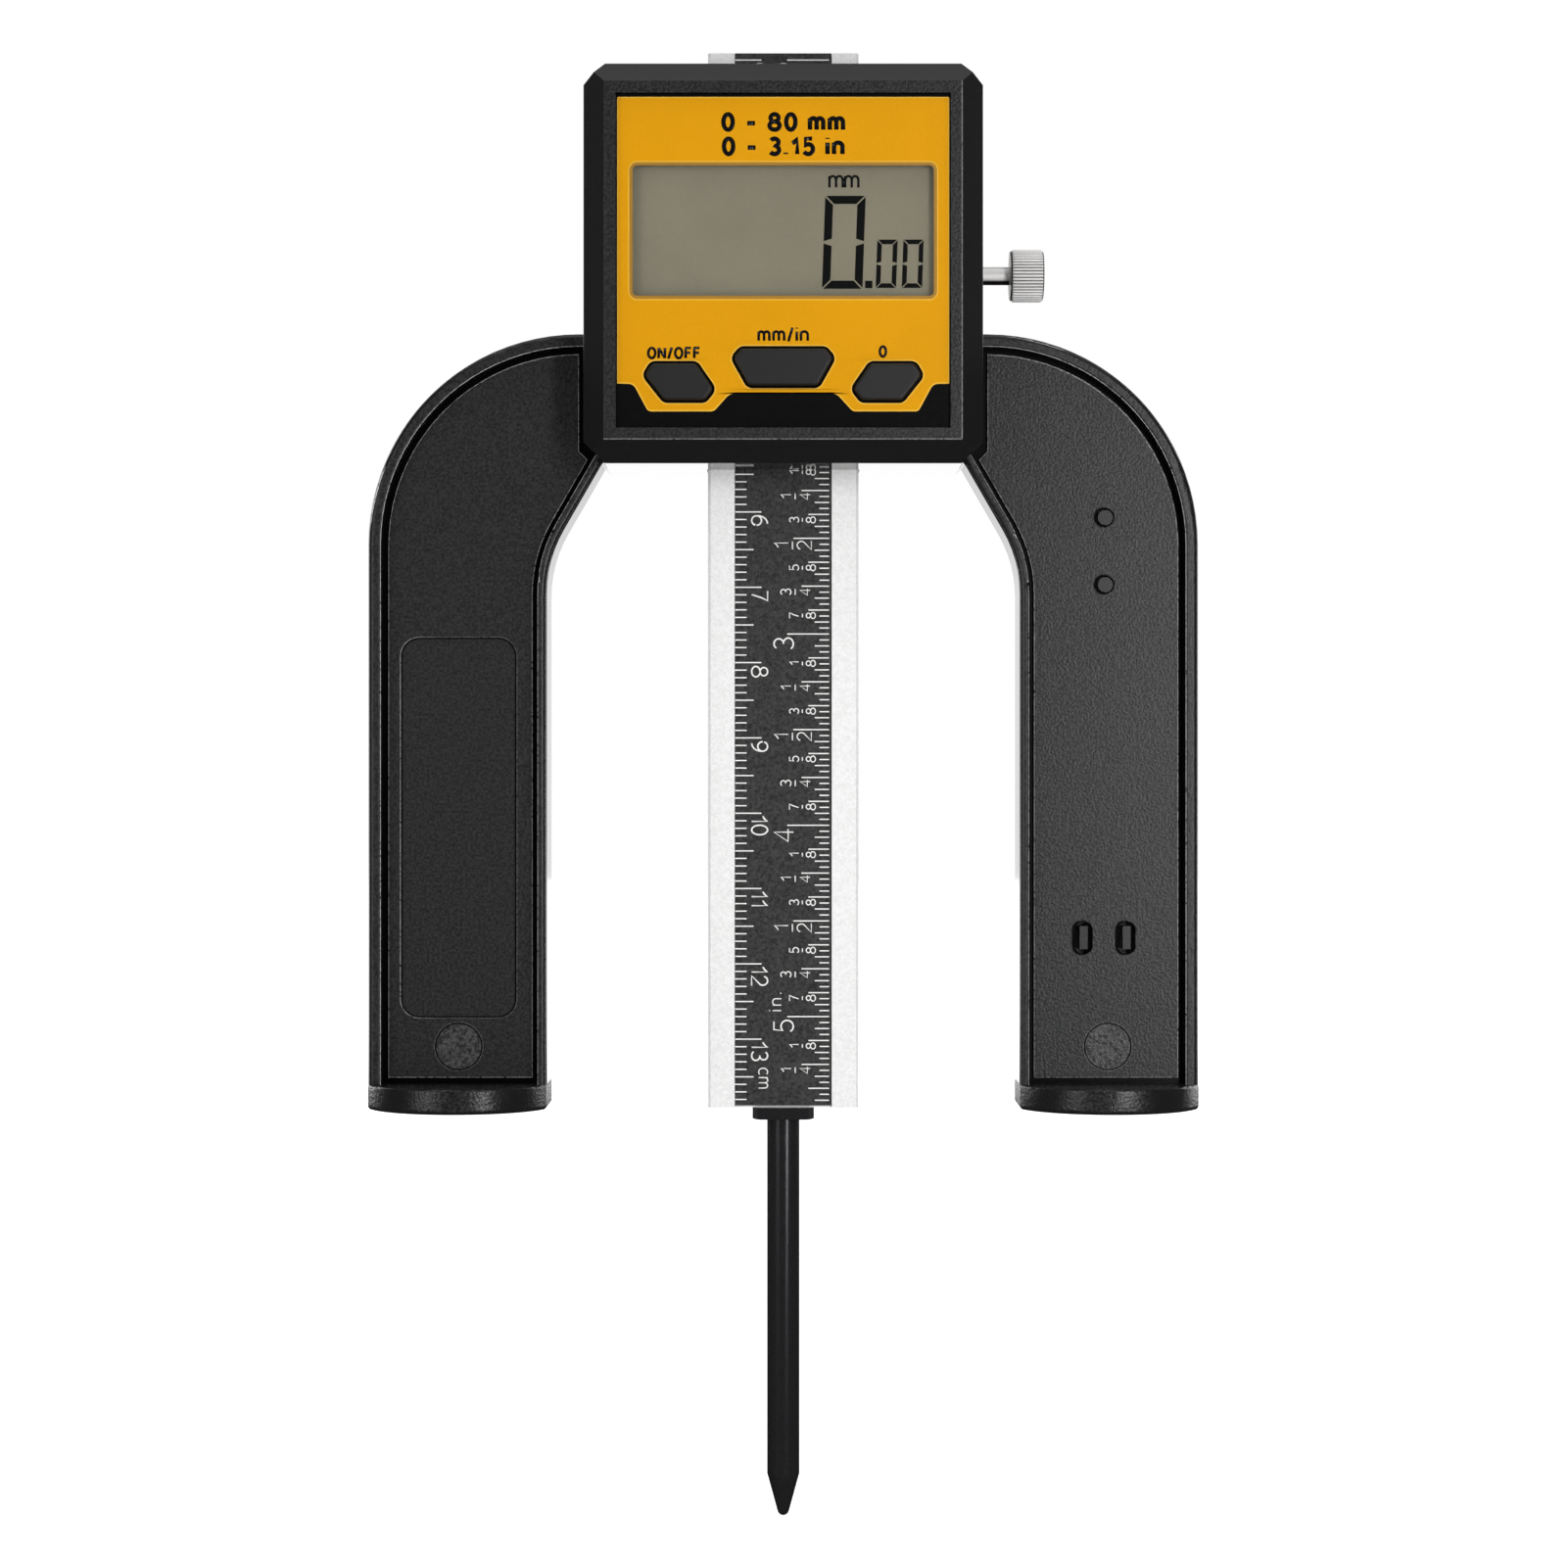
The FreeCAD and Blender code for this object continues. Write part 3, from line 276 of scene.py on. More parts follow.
def rounded(corners, radius):
    """Closed outline through corners, each rounded by one radius (or by its own)."""
    count = len(corners)
    radii = radius if isinstance(radius, (list, tuple)) else [radius] * count
    points = []
    for i, corner in enumerate(corners):
        here = Vector(corner)
        back = (Vector(corners[i - 1]) - here).normalized()
        on = (Vector(corners[(i + 1) % count]) - here).normalized()
        half = back.angle(on) / 2
        middle = (back + on).normalized()
        centre = here + middle * (radii[i] / math.sin(half))
        start = here + back * (radii[i] / math.tan(half)) - centre
        end = here + on * (radii[i] / math.tan(half)) - centre
        for k in range(ROUND_STEPS + 1):
            way = start.lerp(end, k / ROUND_STEPS)
            spot = centre + way.normalized() * radii[i] if radii[i] > 0 else here
            points.append((spot.x, spot.y))
            if radii[i] == 0:
                break
    return points


def rectangle(x, y, width, height, radius=0.0):
    left, right = x - width / 2, x + width / 2
    low, high = y - height / 2, y + height / 2
    return rounded([(left, low), (right, low), (right, high), (left, high)], radius)


def in_metres(points):
    """Points that are written in millimetres."""
    return [(x * MM, y * MM) for x, y in points]


def window_outline(growth, radius):
    """Outline of the display's window, its width and height grown."""
    width, height = [WINDOW_HIGH[i] - WINDOW_LOW[i] + growth for i in (0, 2)]
    x, y = [(WINDOW_LOW[i] + WINDOW_HIGH[i]) / 2 for i in (0, 2)]
    return rectangle(x, y, width, height, radius)


# ---- Materials ---------------------------------------------------------------

WHITE = (1.0, 1.0, 1.0, 1.0)
NOISE_LOW, NOISE_HIGH = 0.3, 0.7        # most of a noise lies between them
GLOSS_SPREAD = 0.12                     # how far a grain changes the roughness, as a share of it


def add_node(tree, kind, inputs=None, **settings):
    """Add a shader node. An input is a value, an output, or a node, whose first live output is taken."""
    made = tree.nodes.new("ShaderNode" + kind)
    for key, value in settings.items():
        setattr(made, key, value)
    for key, value in (inputs or {}).items():
        if isinstance(value, bpy.types.Node):
            value = next(output for output in value.outputs if output.enabled)
        if isinstance(value, bpy.types.NodeSocket):
            tree.links.new(value, made.inputs[key])
        else:
            made.inputs[key].default_value = value
    return made


# The setting that a row of steps names, by the kind of its node.
STEP_SETTING = {"Math": "operation", "VectorMath": "operation", "MapRange": "interpolation_type"}


def add_steps(tree, known, steps):
    """Add a chain of nodes from rows, each with a name, the node's kind and setting, and its inputs.

    An input is a value or the name of an earlier step. known holds the steps by name and grows.
    """
    for name, kind, setting, *inputs in steps:
        sources = [known[item] if isinstance(item, str) else item for item in inputs]
        known[name] = add_node(tree, kind, dict(enumerate(sources)), **{STEP_SETTING[kind]: setting})


def fold_steps(name, source, centre):
    """Steps to how far to either side and up or down a place lies from a centre."""
    return (
        (name + "_moved", "VectorMath", "SUBTRACT", source, centre),
        (name + "_apart", "VectorMath", "ABSOLUTE", name + "_moved"),
        (name, "VectorMath", "MULTIPLY", name + "_apart", (1.0, 0.0, 1.0)),
    )


def outside_steps(name, source, centre, reach):
    """Steps to how far a place lies outside an upright rectangle, from its centre and half its size."""
    return fold_steps(name + "_fold", source, centre) + (
        (name + "_beyond", "VectorMath", "SUBTRACT", name + "_fold", reach),
        (name + "_outer", "VectorMath", "MAXIMUM", name + "_beyond", (0.0, 0.0, 0.0)),
        (name, "VectorMath", "LENGTH", name + "_outer"),
    )


def new_material(name):
    material = bpy.data.materials.new(name)
    material.use_nodes = True
    tree = material.node_tree
    tree.nodes.clear()
    return material, tree


METAL = {"Metallic": 1.0}


def grained(name, colour, spread, roughness, grain, relief, shader_values=None, coarse=0.0):
    """Finish whose colour, roughness and surface vary with a fine grain.

    spread is how far the grain lightens and darkens the colour, grain its size and relief its depth.
    coarse is the size of a second, slow variation of the colour.
    """
    material, tree = new_material(name)
    place = add_node(tree, "TexCoord").outputs["Object"]
    fine = add_node(tree, "TexNoise", {"Vector": place, "Scale": 1 / grain, "Detail": 3.0, "Roughness": 0.6})
    tone = fine
    if coarse:
        slow = add_node(tree, "TexNoise", {"Vector": place, "Scale": 1 / coarse, "Detail": 2.0})
        total = add_node(tree, "Math", {0: fine, 1: slow}, operation="ADD")
        tone = add_node(tree, "Math", {0: total, 1: 0.5}, operation="MULTIPLY")
    dark = opaque([c * (1 - spread) for c in colour])
    light = opaque([min(c * (1 + spread), 1.0) for c in colour])
    span = add_node(tree, "MapRange", {"Value": tone, "From Min": NOISE_LOW, "From Max": NOISE_HIGH})
    mix = add_node(tree, "Mix", {0: span, 6: dark, 7: light}, data_type="RGBA")
    gloss = add_node(tree, "MapRange", {"Value": fine, "From Min": NOISE_LOW, "From Max": NOISE_HIGH,
                                        "To Min": roughness * (1 - GLOSS_SPREAD),
                                        "To Max": roughness * (1 + GLOSS_SPREAD)})
    bump = add_node(tree, "Bump", {"Height": fine, "Strength": 1.0, "Distance": relief})
    shader = add_node(tree, "BsdfPrincipled", {"Base Color": mix, "Roughness": gloss, "Normal": bump,
                                               **(shader_values or {})})
    add_node(tree, "OutputMaterial", {"Surface": shader})
    return material


FINE_GRAIN = 0.34 * MM          # real grain is about 0.1 mm; drawn coarser so it shows
GATE_GRAIN = 0.45 * MM
HALF_LINE = 0.075 * MM          # half the width of each painted line of shade and highlight
FRAME_SIDE = (CASE_HIGH[0] - CASE_LOW[0]) / 2 - FRONT_BEVEL
FRAME_FOOT = CASE_LOW[2] + FRONT_BEVEL

# How much a face has to look to the front or back to count as level, from nothing to fully.
SLANTED, LEVEL = 0.9, 0.97
SAME_LEVEL = 0.1 * MM           # faces no further apart than this, front to back, are one level
FRONT_REACH = 0.05 * MM         # the same for the head's front frame

# Rounds with a painted highlight: how far they reach behind the front of rim and panel, and how much their
# faces look to the front, as the middle of it and how far it goes to either side.
RIM_ROUND, RIM_SLOPE = 0.24 * MM, (0.38, 0.33)
PANEL_ROUND, PANEL_SLOPE = 0.2 * MM, (0.5, 0.42)

# Shares of painted highlight, painted glint and painted shade, from none to all of the colour below.
FRAME_HIGHLIGHT, LEFT_HIGHLIGHT, RIGHT_HIGHLIGHT, GATE_GLINT = 0.3, 0.34, 0.09, 0.11
SHADOW_SHARE, MOAT_SHARE = 0.95, 0.7
LEFT_FLANK = 4.5 * MM           # how far from the bay's left side the painted highlight fades
SHADOW_FADE = 0.2 * MM           # width of the painted shadow's soft edge
HIGHLIGHT_SPECKS = (0.25, 0.52)      # noise where the painted highlight's specks begin and are full
GRAIN_TONES = (0.35, 0.65)      # noise of the grain's darkest and palest places

GRAIN_DEPTH, EXTRA_GATE_DEPTH = 0.05 * MM, 0.03 * MM
PIT_SHARE, PEAK_SHARE, WALL_SHARE = 0.45, 1.9, 0.6      # of the plastic's colour
LEVEL_GLOSS, FOOT_GLOSS = 0.39, 0.27                    # roughness of level faces and feet
WALL_POLISH = (0.15, 0.8, 0.09, 0.26)                   # slope from and to, and roughness from and to

# Every row adds one node: its name, kind and setting, then its inputs in order.
MOULDING_STEPS = (
    *fold_steps("leg", "place", (0.0, 0.0, 0.0)),
    *outside_steps("bay", "place", BAY_CENTRE, BAY_REACH),
    # Level faces look to the front or back. The moats' floors are left out.
    ("turned", "Math", "ABSOLUTE", "facing"),
    ("outward", "MapRange", "LINEAR", "turned", SLANTED, LEVEL),
    ("moat", "Math", "COMPARE", "y", MOAT_FLOOR, SAME_LEVEL),
    ("no_moat", "Math", "SUBTRACT", 1.0, "moat"),
    ("level", "Math", "MULTIPLY", "outward", "no_moat"),
    ("ahead", "Math", "LESS_THAN", "y", 0.0),
    ("front", "Math", "MULTIPLY", "level", "ahead"),
    ("foot", "Math", "LESS_THAN", "z", FOOT_TOP),
    # One gate mark on each leg, so the distance is taken from the folded place.
    ("to_mark", "VectorMath", "DISTANCE", "leg", GATE_MARK),
    ("in_mark", "Math", "LESS_THAN", "to_mark", GATE_MARK_RADIUS),
    ("mark", "Math", "MULTIPLY", "in_mark", "front"),
    # The grain's depth is larger in the gate marks, and nothing on walls and bevels.
    ("grainy", "Math", "MAXIMUM", "level", "foot"),
    ("full_depth", "Math", "MULTIPLY_ADD", "mark", EXTRA_GATE_DEPTH, GRAIN_DEPTH),
    ("depth", "Math", "MULTIPLY", "full_depth", "grainy"),
    # Only the small rounds reach these slopes so close behind the rim's or the panel's front. These rounds
    # get a painted highlight.
    ("rim_place", "Math", "COMPARE", "y", RIM_FRONT + RIM_ROUND / 2, RIM_ROUND / 2),
    ("rim_slope", "Math", "COMPARE", "turned", *RIM_SLOPE),
    ("rim", "Math", "MULTIPLY", "rim_place", "rim_slope"),
    ("panel_place", "Math", "COMPARE", "y", PANEL_FRONT + PANEL_ROUND / 2, PANEL_ROUND / 2),
    ("panel_slope", "Math", "COMPARE", "turned", *PANEL_SLOPE),
    ("panel", "Math", "MULTIPLY", "panel_place", "panel_slope"),
    # A painted dark line of shade runs round bay and gate marks, with a painted highlight along its inner
    # flank, strongest on the left.
    ("bay_line", "Math", "COMPARE", "bay", BAY_CORNER + HALF_LINE, HALF_LINE),
    ("mark_line", "Math", "COMPARE", "to_mark", GATE_MARK_RADIUS + HALF_LINE, HALF_LINE),
    ("lines", "Math", "MAXIMUM", "bay_line", "mark_line"),
    ("scored", "Math", "MULTIPLY", "lines", "front"),
    ("bay_flank", "Math", "COMPARE", "bay", BAY_CORNER + 3 * HALF_LINE, HALF_LINE),
    ("mark_flank", "Math", "COMPARE", "to_mark", GATE_MARK_RADIUS + 3 * HALF_LINE, HALF_LINE),
    ("flanks", "Math", "MAXIMUM", "bay_flank", "mark_flank"),
    ("front_flanks", "Math", "MULTIPLY", "flanks", "front"),
    ("from_left", "MapRange", "LINEAR", "x",
     BAY_CENTRE[0] - BAY_SIDE, BAY_CENTRE[0] - BAY_SIDE + LEFT_FLANK, LEFT_HIGHLIGHT, RIGHT_HIGHLIGHT),
    ("lit", "Math", "MULTIPLY", "front_flanks", "from_left"),
    # The head's front frame gets a painted highlight along its right and lower edges.
    ("at_side", "Math", "COMPARE", "x", FRAME_SIDE - HALF_LINE, HALF_LINE),
    ("at_foot", "Math", "COMPARE", "z", FRAME_FOOT + HALF_LINE, HALF_LINE),
    ("frame_lines", "Math", "MAXIMUM", "at_side", "at_foot"),
    ("frame_front", "Math", "COMPARE", "y", CASE_LOW[1], FRONT_REACH),
    ("on_frame", "Math", "MULTIPLY", "frame_lines", "frame_front"),
    ("frame_wear", "Math", "MULTIPLY", "on_frame", FRAME_HIGHLIGHT),
    # All painted highlights, in specks, and the painted glints in the gate marks' grain.
    ("edges", "Math", "MAXIMUM", "rim", "panel"),
    ("thin", "Math", "MAXIMUM", "lit", "frame_wear"),
    ("worn", "Math", "MAXIMUM", "edges", "thin"),
    ("specks", "MapRange", "LINEAR", "fine", *HIGHLIGHT_SPECKS),
    ("worn_specks", "Math", "MULTIPLY", "worn", "specks"),
    ("pale_specks", "MapRange", "LINEAR", "fine", *GRAIN_TONES, 0.0, GATE_GLINT),
    ("pale_mark", "Math", "MULTIPLY", "mark", "pale_specks"),
    ("rubbed", "Math", "MAXIMUM", "worn_specks", "pale_mark"),
    # All painted shade: the dark lines round bay and gate marks, the moats, and the painted shadows beside
    # the probe holder's pins and hooks.
    ("both_grimes", "Math", "MAXIMUM", "pin_grime", "hook_grime"),
    ("grime", "Math", "MULTIPLY", "both_grimes", "front"),
    # Painted shade in the moats round the panels.
    ("moat_dark", "Math", "MULTIPLY", "moat", MOAT_SHARE),
    ("cuts", "Math", "MAXIMUM", "scored", "moat_dark"),
    ("dark", "Math", "MAXIMUM", "cuts", "grime"),
    ("polish", "MapRange", "LINEAR", "turned", *WALL_POLISH),
)


def moulded_abs(colour):
    """ABS from a spark-eroded tool: satin black, its grain glinting where light meets it at a slant.

    The faces that look to the front and back and the feet carry the grain. Walls and bevels were polished so
    that they leave the tool. The gate marks have a coarser grain with painted glints. The edges of rims,
    panels and label bay and the head's frame carry painted highlights, in specks. Bay and gate marks are
    ringed by a painted line of shade. The moats round the panels are painted with shade, and painted shadows
    lie beside the probe holder's pins and hooks.
    """
    material, tree = new_material("moulded_abs_spark_grain")
    coordinates = add_node(tree, "TexCoord").outputs
    place = coordinates["Object"]
    spot = add_node(tree, "SeparateXYZ", {0: place}).outputs
    facing = add_node(tree, "SeparateXYZ", {0: coordinates["Normal"]}).outputs["Y"]
    fine, gate = [add_node(tree, "TexNoise", {"Vector": place, "Scale": 1 / size, "Detail": 1.0,
                                              "Roughness": 0.6}) for size in (FINE_GRAIN, GATE_GRAIN)]
    known = {"place": place, "x": spot["X"], "y": spot["Y"], "z": spot["Z"], "facing": facing, "fine": fine}
    # Each pair of holes gets a painted shadow on its left side, with a soft edge.
    for name, middle, apart, straight, reach in PAINTED_SHADOWS:
        add_steps(tree, known, (
            *fold_steps(name + "_pair", "place", middle),
            *outside_steps(name, name + "_pair", apart, straight),
            (name + "_grime", "MapRange", "SMOOTHSTEP", name, reach + SHADOW_FADE, reach, 0.0, SHADOW_SHARE),
        ))
    add_steps(tree, known, MOULDING_STEPS)

    height = add_node(tree, "Mix", {0: known["mark"], 2: fine, 3: gate}, data_type="FLOAT")
    bump = add_node(tree, "Bump", {"Height": height, "Strength": 1.0, "Distance": known["depth"]})
    darkest, palest = GRAIN_TONES
    span = add_node(tree, "MapRange", {"Value": height, "From Min": darkest, "From Max": palest})
    pit, peak, wall = [opaque([c * share for c in colour]) for share in (PIT_SHARE, PEAK_SHARE, WALL_SHARE)]
    highlight_colour = opaque(linear("#C0C0C0"))
    shade_colour = opaque(linear("#040404"))
    grain = add_node(tree, "Mix", {0: span, 6: pit, 7: peak}, data_type="RGBA")
    base = add_node(tree, "Mix", {0: known["level"], 6: wall, 7: grain}, data_type="RGBA")
    cut = add_node(tree, "Mix", {0: known["dark"], 6: base, 7: shade_colour}, data_type="RGBA")
    # Painted highlights and glints lighten the colour toward a pale grey.
    tone = add_node(tree, "Mix", {0: known["rubbed"], 6: cut, 7: highlight_colour}, data_type="RGBA")
    satin = add_node(tree, "Mix", {0: known["level"], 2: known["polish"], 3: LEVEL_GLOSS}, data_type="FLOAT")
    gloss = add_node(tree, "Mix", {0: known["foot"], 2: satin, 3: FOOT_GLOSS}, data_type="FLOAT")
    # Where shade is painted it is also metallic with a black colour, which mirrors next to nothing, as dull
    # dark places do.
    shader = add_node(tree, "BsdfPrincipled", {"IOR": 1.48, "Base Color": tone, "Roughness": gloss,
                                               "Normal": bump, "Metallic": known["dark"]})
    add_node(tree, "OutputMaterial", {"Surface": shader})
    return material


HEAD_ON_SHARE = 0.04            # of the light that acrylic mirrors where it is looked at straight on


def clear_acrylic_window():
    """Cast acrylic, polished: clear where it is looked through, a mirror where light grazes it."""
    material, tree = new_material("clear_acrylic_window")
    place = add_node(tree, "TexCoord").outputs["Object"]
    waviness = 6.0 * MM
    waves = add_node(tree, "TexNoise", {"Vector": place, "Scale": 1 / waviness})
    bump = add_node(tree, "Bump", {"Height": waves, "Strength": 0.2, "Distance": 0.01 * MM})
    # The share of light that the window mirrors hides the display, and the rest passes through. It grows
    # with the fifth power of the slant, alike from within and from without.
    slant = add_node(tree, "LayerWeight", {"Blend": 0.5}).outputs["Facing"]
    steep = add_node(tree, "Math", {0: slant, 1: 5.0}, operation="POWER")
    mirrored = add_node(tree, "MapRange", {"Value": steep, "To Min": HEAD_ON_SHARE, "To Max": 1.0})
    shader = add_node(tree, "BsdfPrincipled", {"Base Color": opaque(linear("#F8F8F6")), "Metallic": 1.0,
                                               "Roughness": 0.04, "Normal": bump, "Alpha": mirrored})
    add_node(tree, "OutputMaterial", {"Surface": shader})
    return material


def solder_masked_board():
    """Glass laminate under green solder mask, with copper tracks showing as paler lines."""
    material, tree = new_material("solder_masked_board")
    place = add_node(tree, "TexCoord").outputs["Object"]
    track_pitch = 1.27 * MM
    upright = add_node(tree, "Mapping", {"Vector": place, "Rotation": (math.pi / 2, 0.0, 0.0)})
    tracks = add_node(tree, "TexBrick", {
        "Vector": upright, "Color1": opaque(linear("#1F5A34")), "Color2": opaque(linear("#1C5230")),
        "Mortar": opaque(linear("#3E7D4C")), "Scale": 1 / track_pitch, "Mortar Size": 0.04,
        "Brick Width": 6.0, "Row Height": 1.0}, offset=0.5).outputs
    bump = add_node(tree, "Bump", {"Height": tracks["Fac"], "Strength": 0.5, "Distance": 0.03 * MM})
    shader = add_node(tree, "BsdfPrincipled", {"Base Color": tracks["Color"], "Roughness": 0.3, "IOR": 1.5,
                                               "Normal": bump})
    add_node(tree, "OutputMaterial", {"Surface": shader})
    return material


def layered_connector_rubber():
    """Silicone strip built of thin dark and pale layers across its length."""
    material, tree = new_material("layered_connector_rubber")
    place = add_node(tree, "TexCoord").outputs["Object"]
    layer_pitch = 0.4 * MM          # real layers are about 0.1 mm
    bands_per_unit = 20             # of the wave texture
    layers = add_node(tree, "TexWave", {"Vector": place, "Scale": 1 / layer_pitch / bands_per_unit},
                      wave_type="BANDS", bands_direction="X").outputs["Fac"]
    mix = add_node(tree, "Mix", {0: layers, 6: opaque(linear("#C9C5BD")), 7: opaque(linear("#2A2A2B"))},
                   data_type="RGBA")
    shader = add_node(tree, "BsdfPrincipled", {"Base Color": mix, "Roughness": 0.6, "IOR": 1.43})
    add_node(tree, "OutputMaterial", {"Surface": shader})
    return material


# ---- Ruler marks -------------------------------------------------------------

SIX = [arc(0.3, 0.31, 0.3, 0.31, 0, 345),
       [(0.0, 0.31), (0.015, 0.52), (0.08, 0.72), (0.2, 0.88), (0.36, 0.97), (0.5, 0.99)]]

# Centre lines of each character in a box one unit high, small letters up to their x-height, and its width.
GLYPHS = {
    "0": ([arc(0.3, 0.5, 0.3, 0.5, 90, 455, 22)], 0.6),
    "1": ([[(0.0, 0.7), (0.14, 0.78), (0.25, 0.88), (0.32, 1.0), (0.32, 0.0)]], 0.32),
    "2": ([arc(0.31, 0.7, 0.28, 0.3, 165, -35) + [(0.0, 0.0), (0.62, 0.0)]], 0.62),
    "3": ([arc(0.29, 0.75, 0.26, 0.25, 150, -90, 10) + arc(0.29, 0.26, 0.3, 0.26, 85, -150, 10)], 0.6),
    "4": ([[(0.48, 0.0), (0.48, 1.0), (0.0, 0.27), (0.64, 0.27)]], 0.64),
    "5": ([[(0.54, 1.0), (0.12, 1.0), (0.07, 0.54)] + arc(0.29, 0.32, 0.31, 0.32, 128, -150, 12)], 0.6),
    "6": (SIX, 0.6),
    "7": ([[(0.0, 1.0), (0.6, 1.0), (0.4, 0.58), (0.22, 0.0)]], 0.6),
    "8": ([arc(0.33, 0.765, 0.26, 0.235, -90, 255), arc(0.33, 0.265, 0.33, 0.265, 90, 435)], 0.66),
    "9": ([[(0.6 - x, 1 - y) for x, y in stroke] for stroke in SIX], 0.6),
    "c": ([arc(0.42, 0.5, 0.42, 0.5, 50, 310, 12)], 0.72),
    "i": ([[(0.0, 0.0), (0.0, 1.0)], [(0.0, 1.32), (0.0, 1.42)]], 0.0),
    "n": ([[(0.0, 0.0), (0.0, 1.0)],
           [(0.0, 0.66)] + arc(0.37, 0.66, 0.37, 0.34, 150, 0, 8) + [(0.74, 0.0)]], 0.74),
    "m": ([[(0.0, 0.0), (0.0, 1.0)],
           [(0.0, 0.66)] + arc(0.29, 0.66, 0.29, 0.34, 150, 0, 8) + [(0.58, 0.0)],
           [(0.58, 0.66)] + arc(0.87, 0.66, 0.29, 0.34, 150, 0, 8) + [(1.16, 0.0)]], 1.16),
    "N": ([[(0.0, 0.0), (0.0, 1.0)], [(0.0, 1.0), (0.62, 0.0)], [(0.62, 0.0), (0.62, 1.0)]], 0.62),
    "O": ([arc(0.35, 0.5, 0.35, 0.5, 90, 460, 24)], 0.7),
    "F": ([[(0.0, 0.0), (0.0, 1.0)], [(-0.05, 1.0), (0.52, 1.0)], [(0.0, 0.52), (0.46, 0.52)]], 0.52),
    "/": ([[(0.0, -0.06), (0.34, 1.06)]], 0.34),
    "–": ([[(0.0, 0.42), (0.5, 0.42)]], 0.5),
    ".": ([[(0.0, 0.0), (0.0, 0.1)]], 0.0),
    " ": ([], 0.1),
}
SMALL_LETTERS = "cimn"
X_HEIGHT = 0.74                 # small letters to capitals
LETTER_GAP = 0.24


def written(text, height, turn, x, z, centred=False, gap=LETTER_GAP):
    """Strokes of a line of characters.

    turn is 0 for upright, 1 for tops to the right, -1 for tops to the left. (x, z) is where the line's
    lower left corner lies, seen along its own reading direction, or the middle of its foot if centred.
    """
    scales = [X_HEIGHT if character in SMALL_LETTERS else 1.0 for character in text]
    width = sum(GLYPHS[c][1] * scale for c, scale in zip(text, scales)) + gap * (len(text) - 1)
    along = -width / 2 if centred else 0.0
    strokes = []
    for character, scale in zip(text, scales):
        lines, advance = GLYPHS[character]
        for line in lines:
            spots = []
            for u, v in line:
                u, v = (u * scale + along) * height, v * scale * height
                if turn == 0:
                    spots.append((x + u, z + v))
                else:
                    spots.append((x + turn * v, z - turn * u))
            strokes.append((spots, False))
        along += advance * scale + gap
    return strokes


RULER_ZERO = 139.1 * MM         # height of both zero lines
RULER_END = 0.9 * MM
INCH = 25.4 * MM
CM_EDGE = LABEL_LOW[0]
INCH_EDGE = LABEL_HIGH[0] - 0.32 * MM
CM_TICKS = {1: 1.53 * MM, 5: 2.46 * MM, 10: 3.5 * MM}
INCH_TICKS = {1: 1.27 * MM, 2: 1.9 * MM, 4: 2.74 * MM, 8: 3.65 * MM, 16: 4.73 * MM, 32: 5.55 * MM}
CM_NUMERAL_FOOT = -4.2 * MM     # x of the centimetre numerals' feet
INCH_NUMERAL_FOOT = 1.34 * MM
CM_NUMERALS = 14                # from 0 to 13
INCH_NUMERALS = 6               # from 0 to 5
NUMERAL_DROP = 0.5 * MM         # tick to the near side of its numeral
ONE_RISE = 0.1 * MM             # a 1 stands so much closer to its tick
LAST_EIGHTH = 42                # below it stands the unit
FRACTION_DROP = 0.36 * MM
HALF_CHARACTER = 0.3            # mean half width of a figure, as a share of its height

# Text, height, tops' side, place, and gap between characters of the unit names.
UNIT_NAMES = (
    ("cm", 1.62 * MM, 1, -3.27 * MM, RULER_ZERO - 133.85 * MM, LETTER_GAP),
    ("in.", 1.56 * MM, -1, -0.25 * MM, RULER_ZERO - 5 * INCH + 0.8 * MM, 0.46),
)

# Per denominator: character height, x of the feet of both numbers, x of the line between, its length.
FRACTIONS = {
    2: (1.88 * MM, 0.66 * MM, 3.73 * MM, 1.22 * MM, 1.05 * MM),
    4: (1.36 * MM, 1.02 * MM, 3.57 * MM, 1.59 * MM, 0.8 * MM),
    8: (1.22 * MM, 2.05 * MM, 4.27 * MM, 2.54 * MM, 0.5 * MM),
}


def tick_length(lengths, index):
    return lengths[max(step for step in lengths if index % step == 0)]


def centimetre_ticks(width):
    loops = []
    count = int((RULER_ZERO - RULER_END) / MM)
    for i in range(count + 1):
        reach = tick_length(CM_TICKS, i)
        loops.append(rectangle(CM_EDGE + reach / 2, RULER_ZERO - i * MM, reach, width))
    return loops


def inch_ticks(width):
    loops = []
    pitch = INCH / 32
    count = int((RULER_ZERO - RULER_END) / pitch)
    for i in range(count + 1):
        reach = tick_length(INCH_TICKS, i)
        loops.append(rectangle(INCH_EDGE - reach / 2, RULER_ZERO - i * pitch, reach, width))
    return loops


def large_numerals(sizes):
    """Centimetre and inch numerals."""
    strokes = []
    for cm in range(CM_NUMERALS):
        text = str(cm)
        drop = NUMERAL_DROP - ONE_RISE if text[0] == "1" else NUMERAL_DROP
        height = RULER_ZERO - cm * 10 * MM - drop
        strokes += written(text, sizes.numeral_height, 1, CM_NUMERAL_FOOT, height)
    for inch in range(INCH_NUMERALS):
        width = GLYPHS[str(inch)][1] * sizes.inch_height
        height = RULER_ZERO - inch * INCH - NUMERAL_DROP - width
        strokes += written(str(inch), sizes.inch_height, -1, INCH_NUMERAL_FOOT, height)
    return strokes


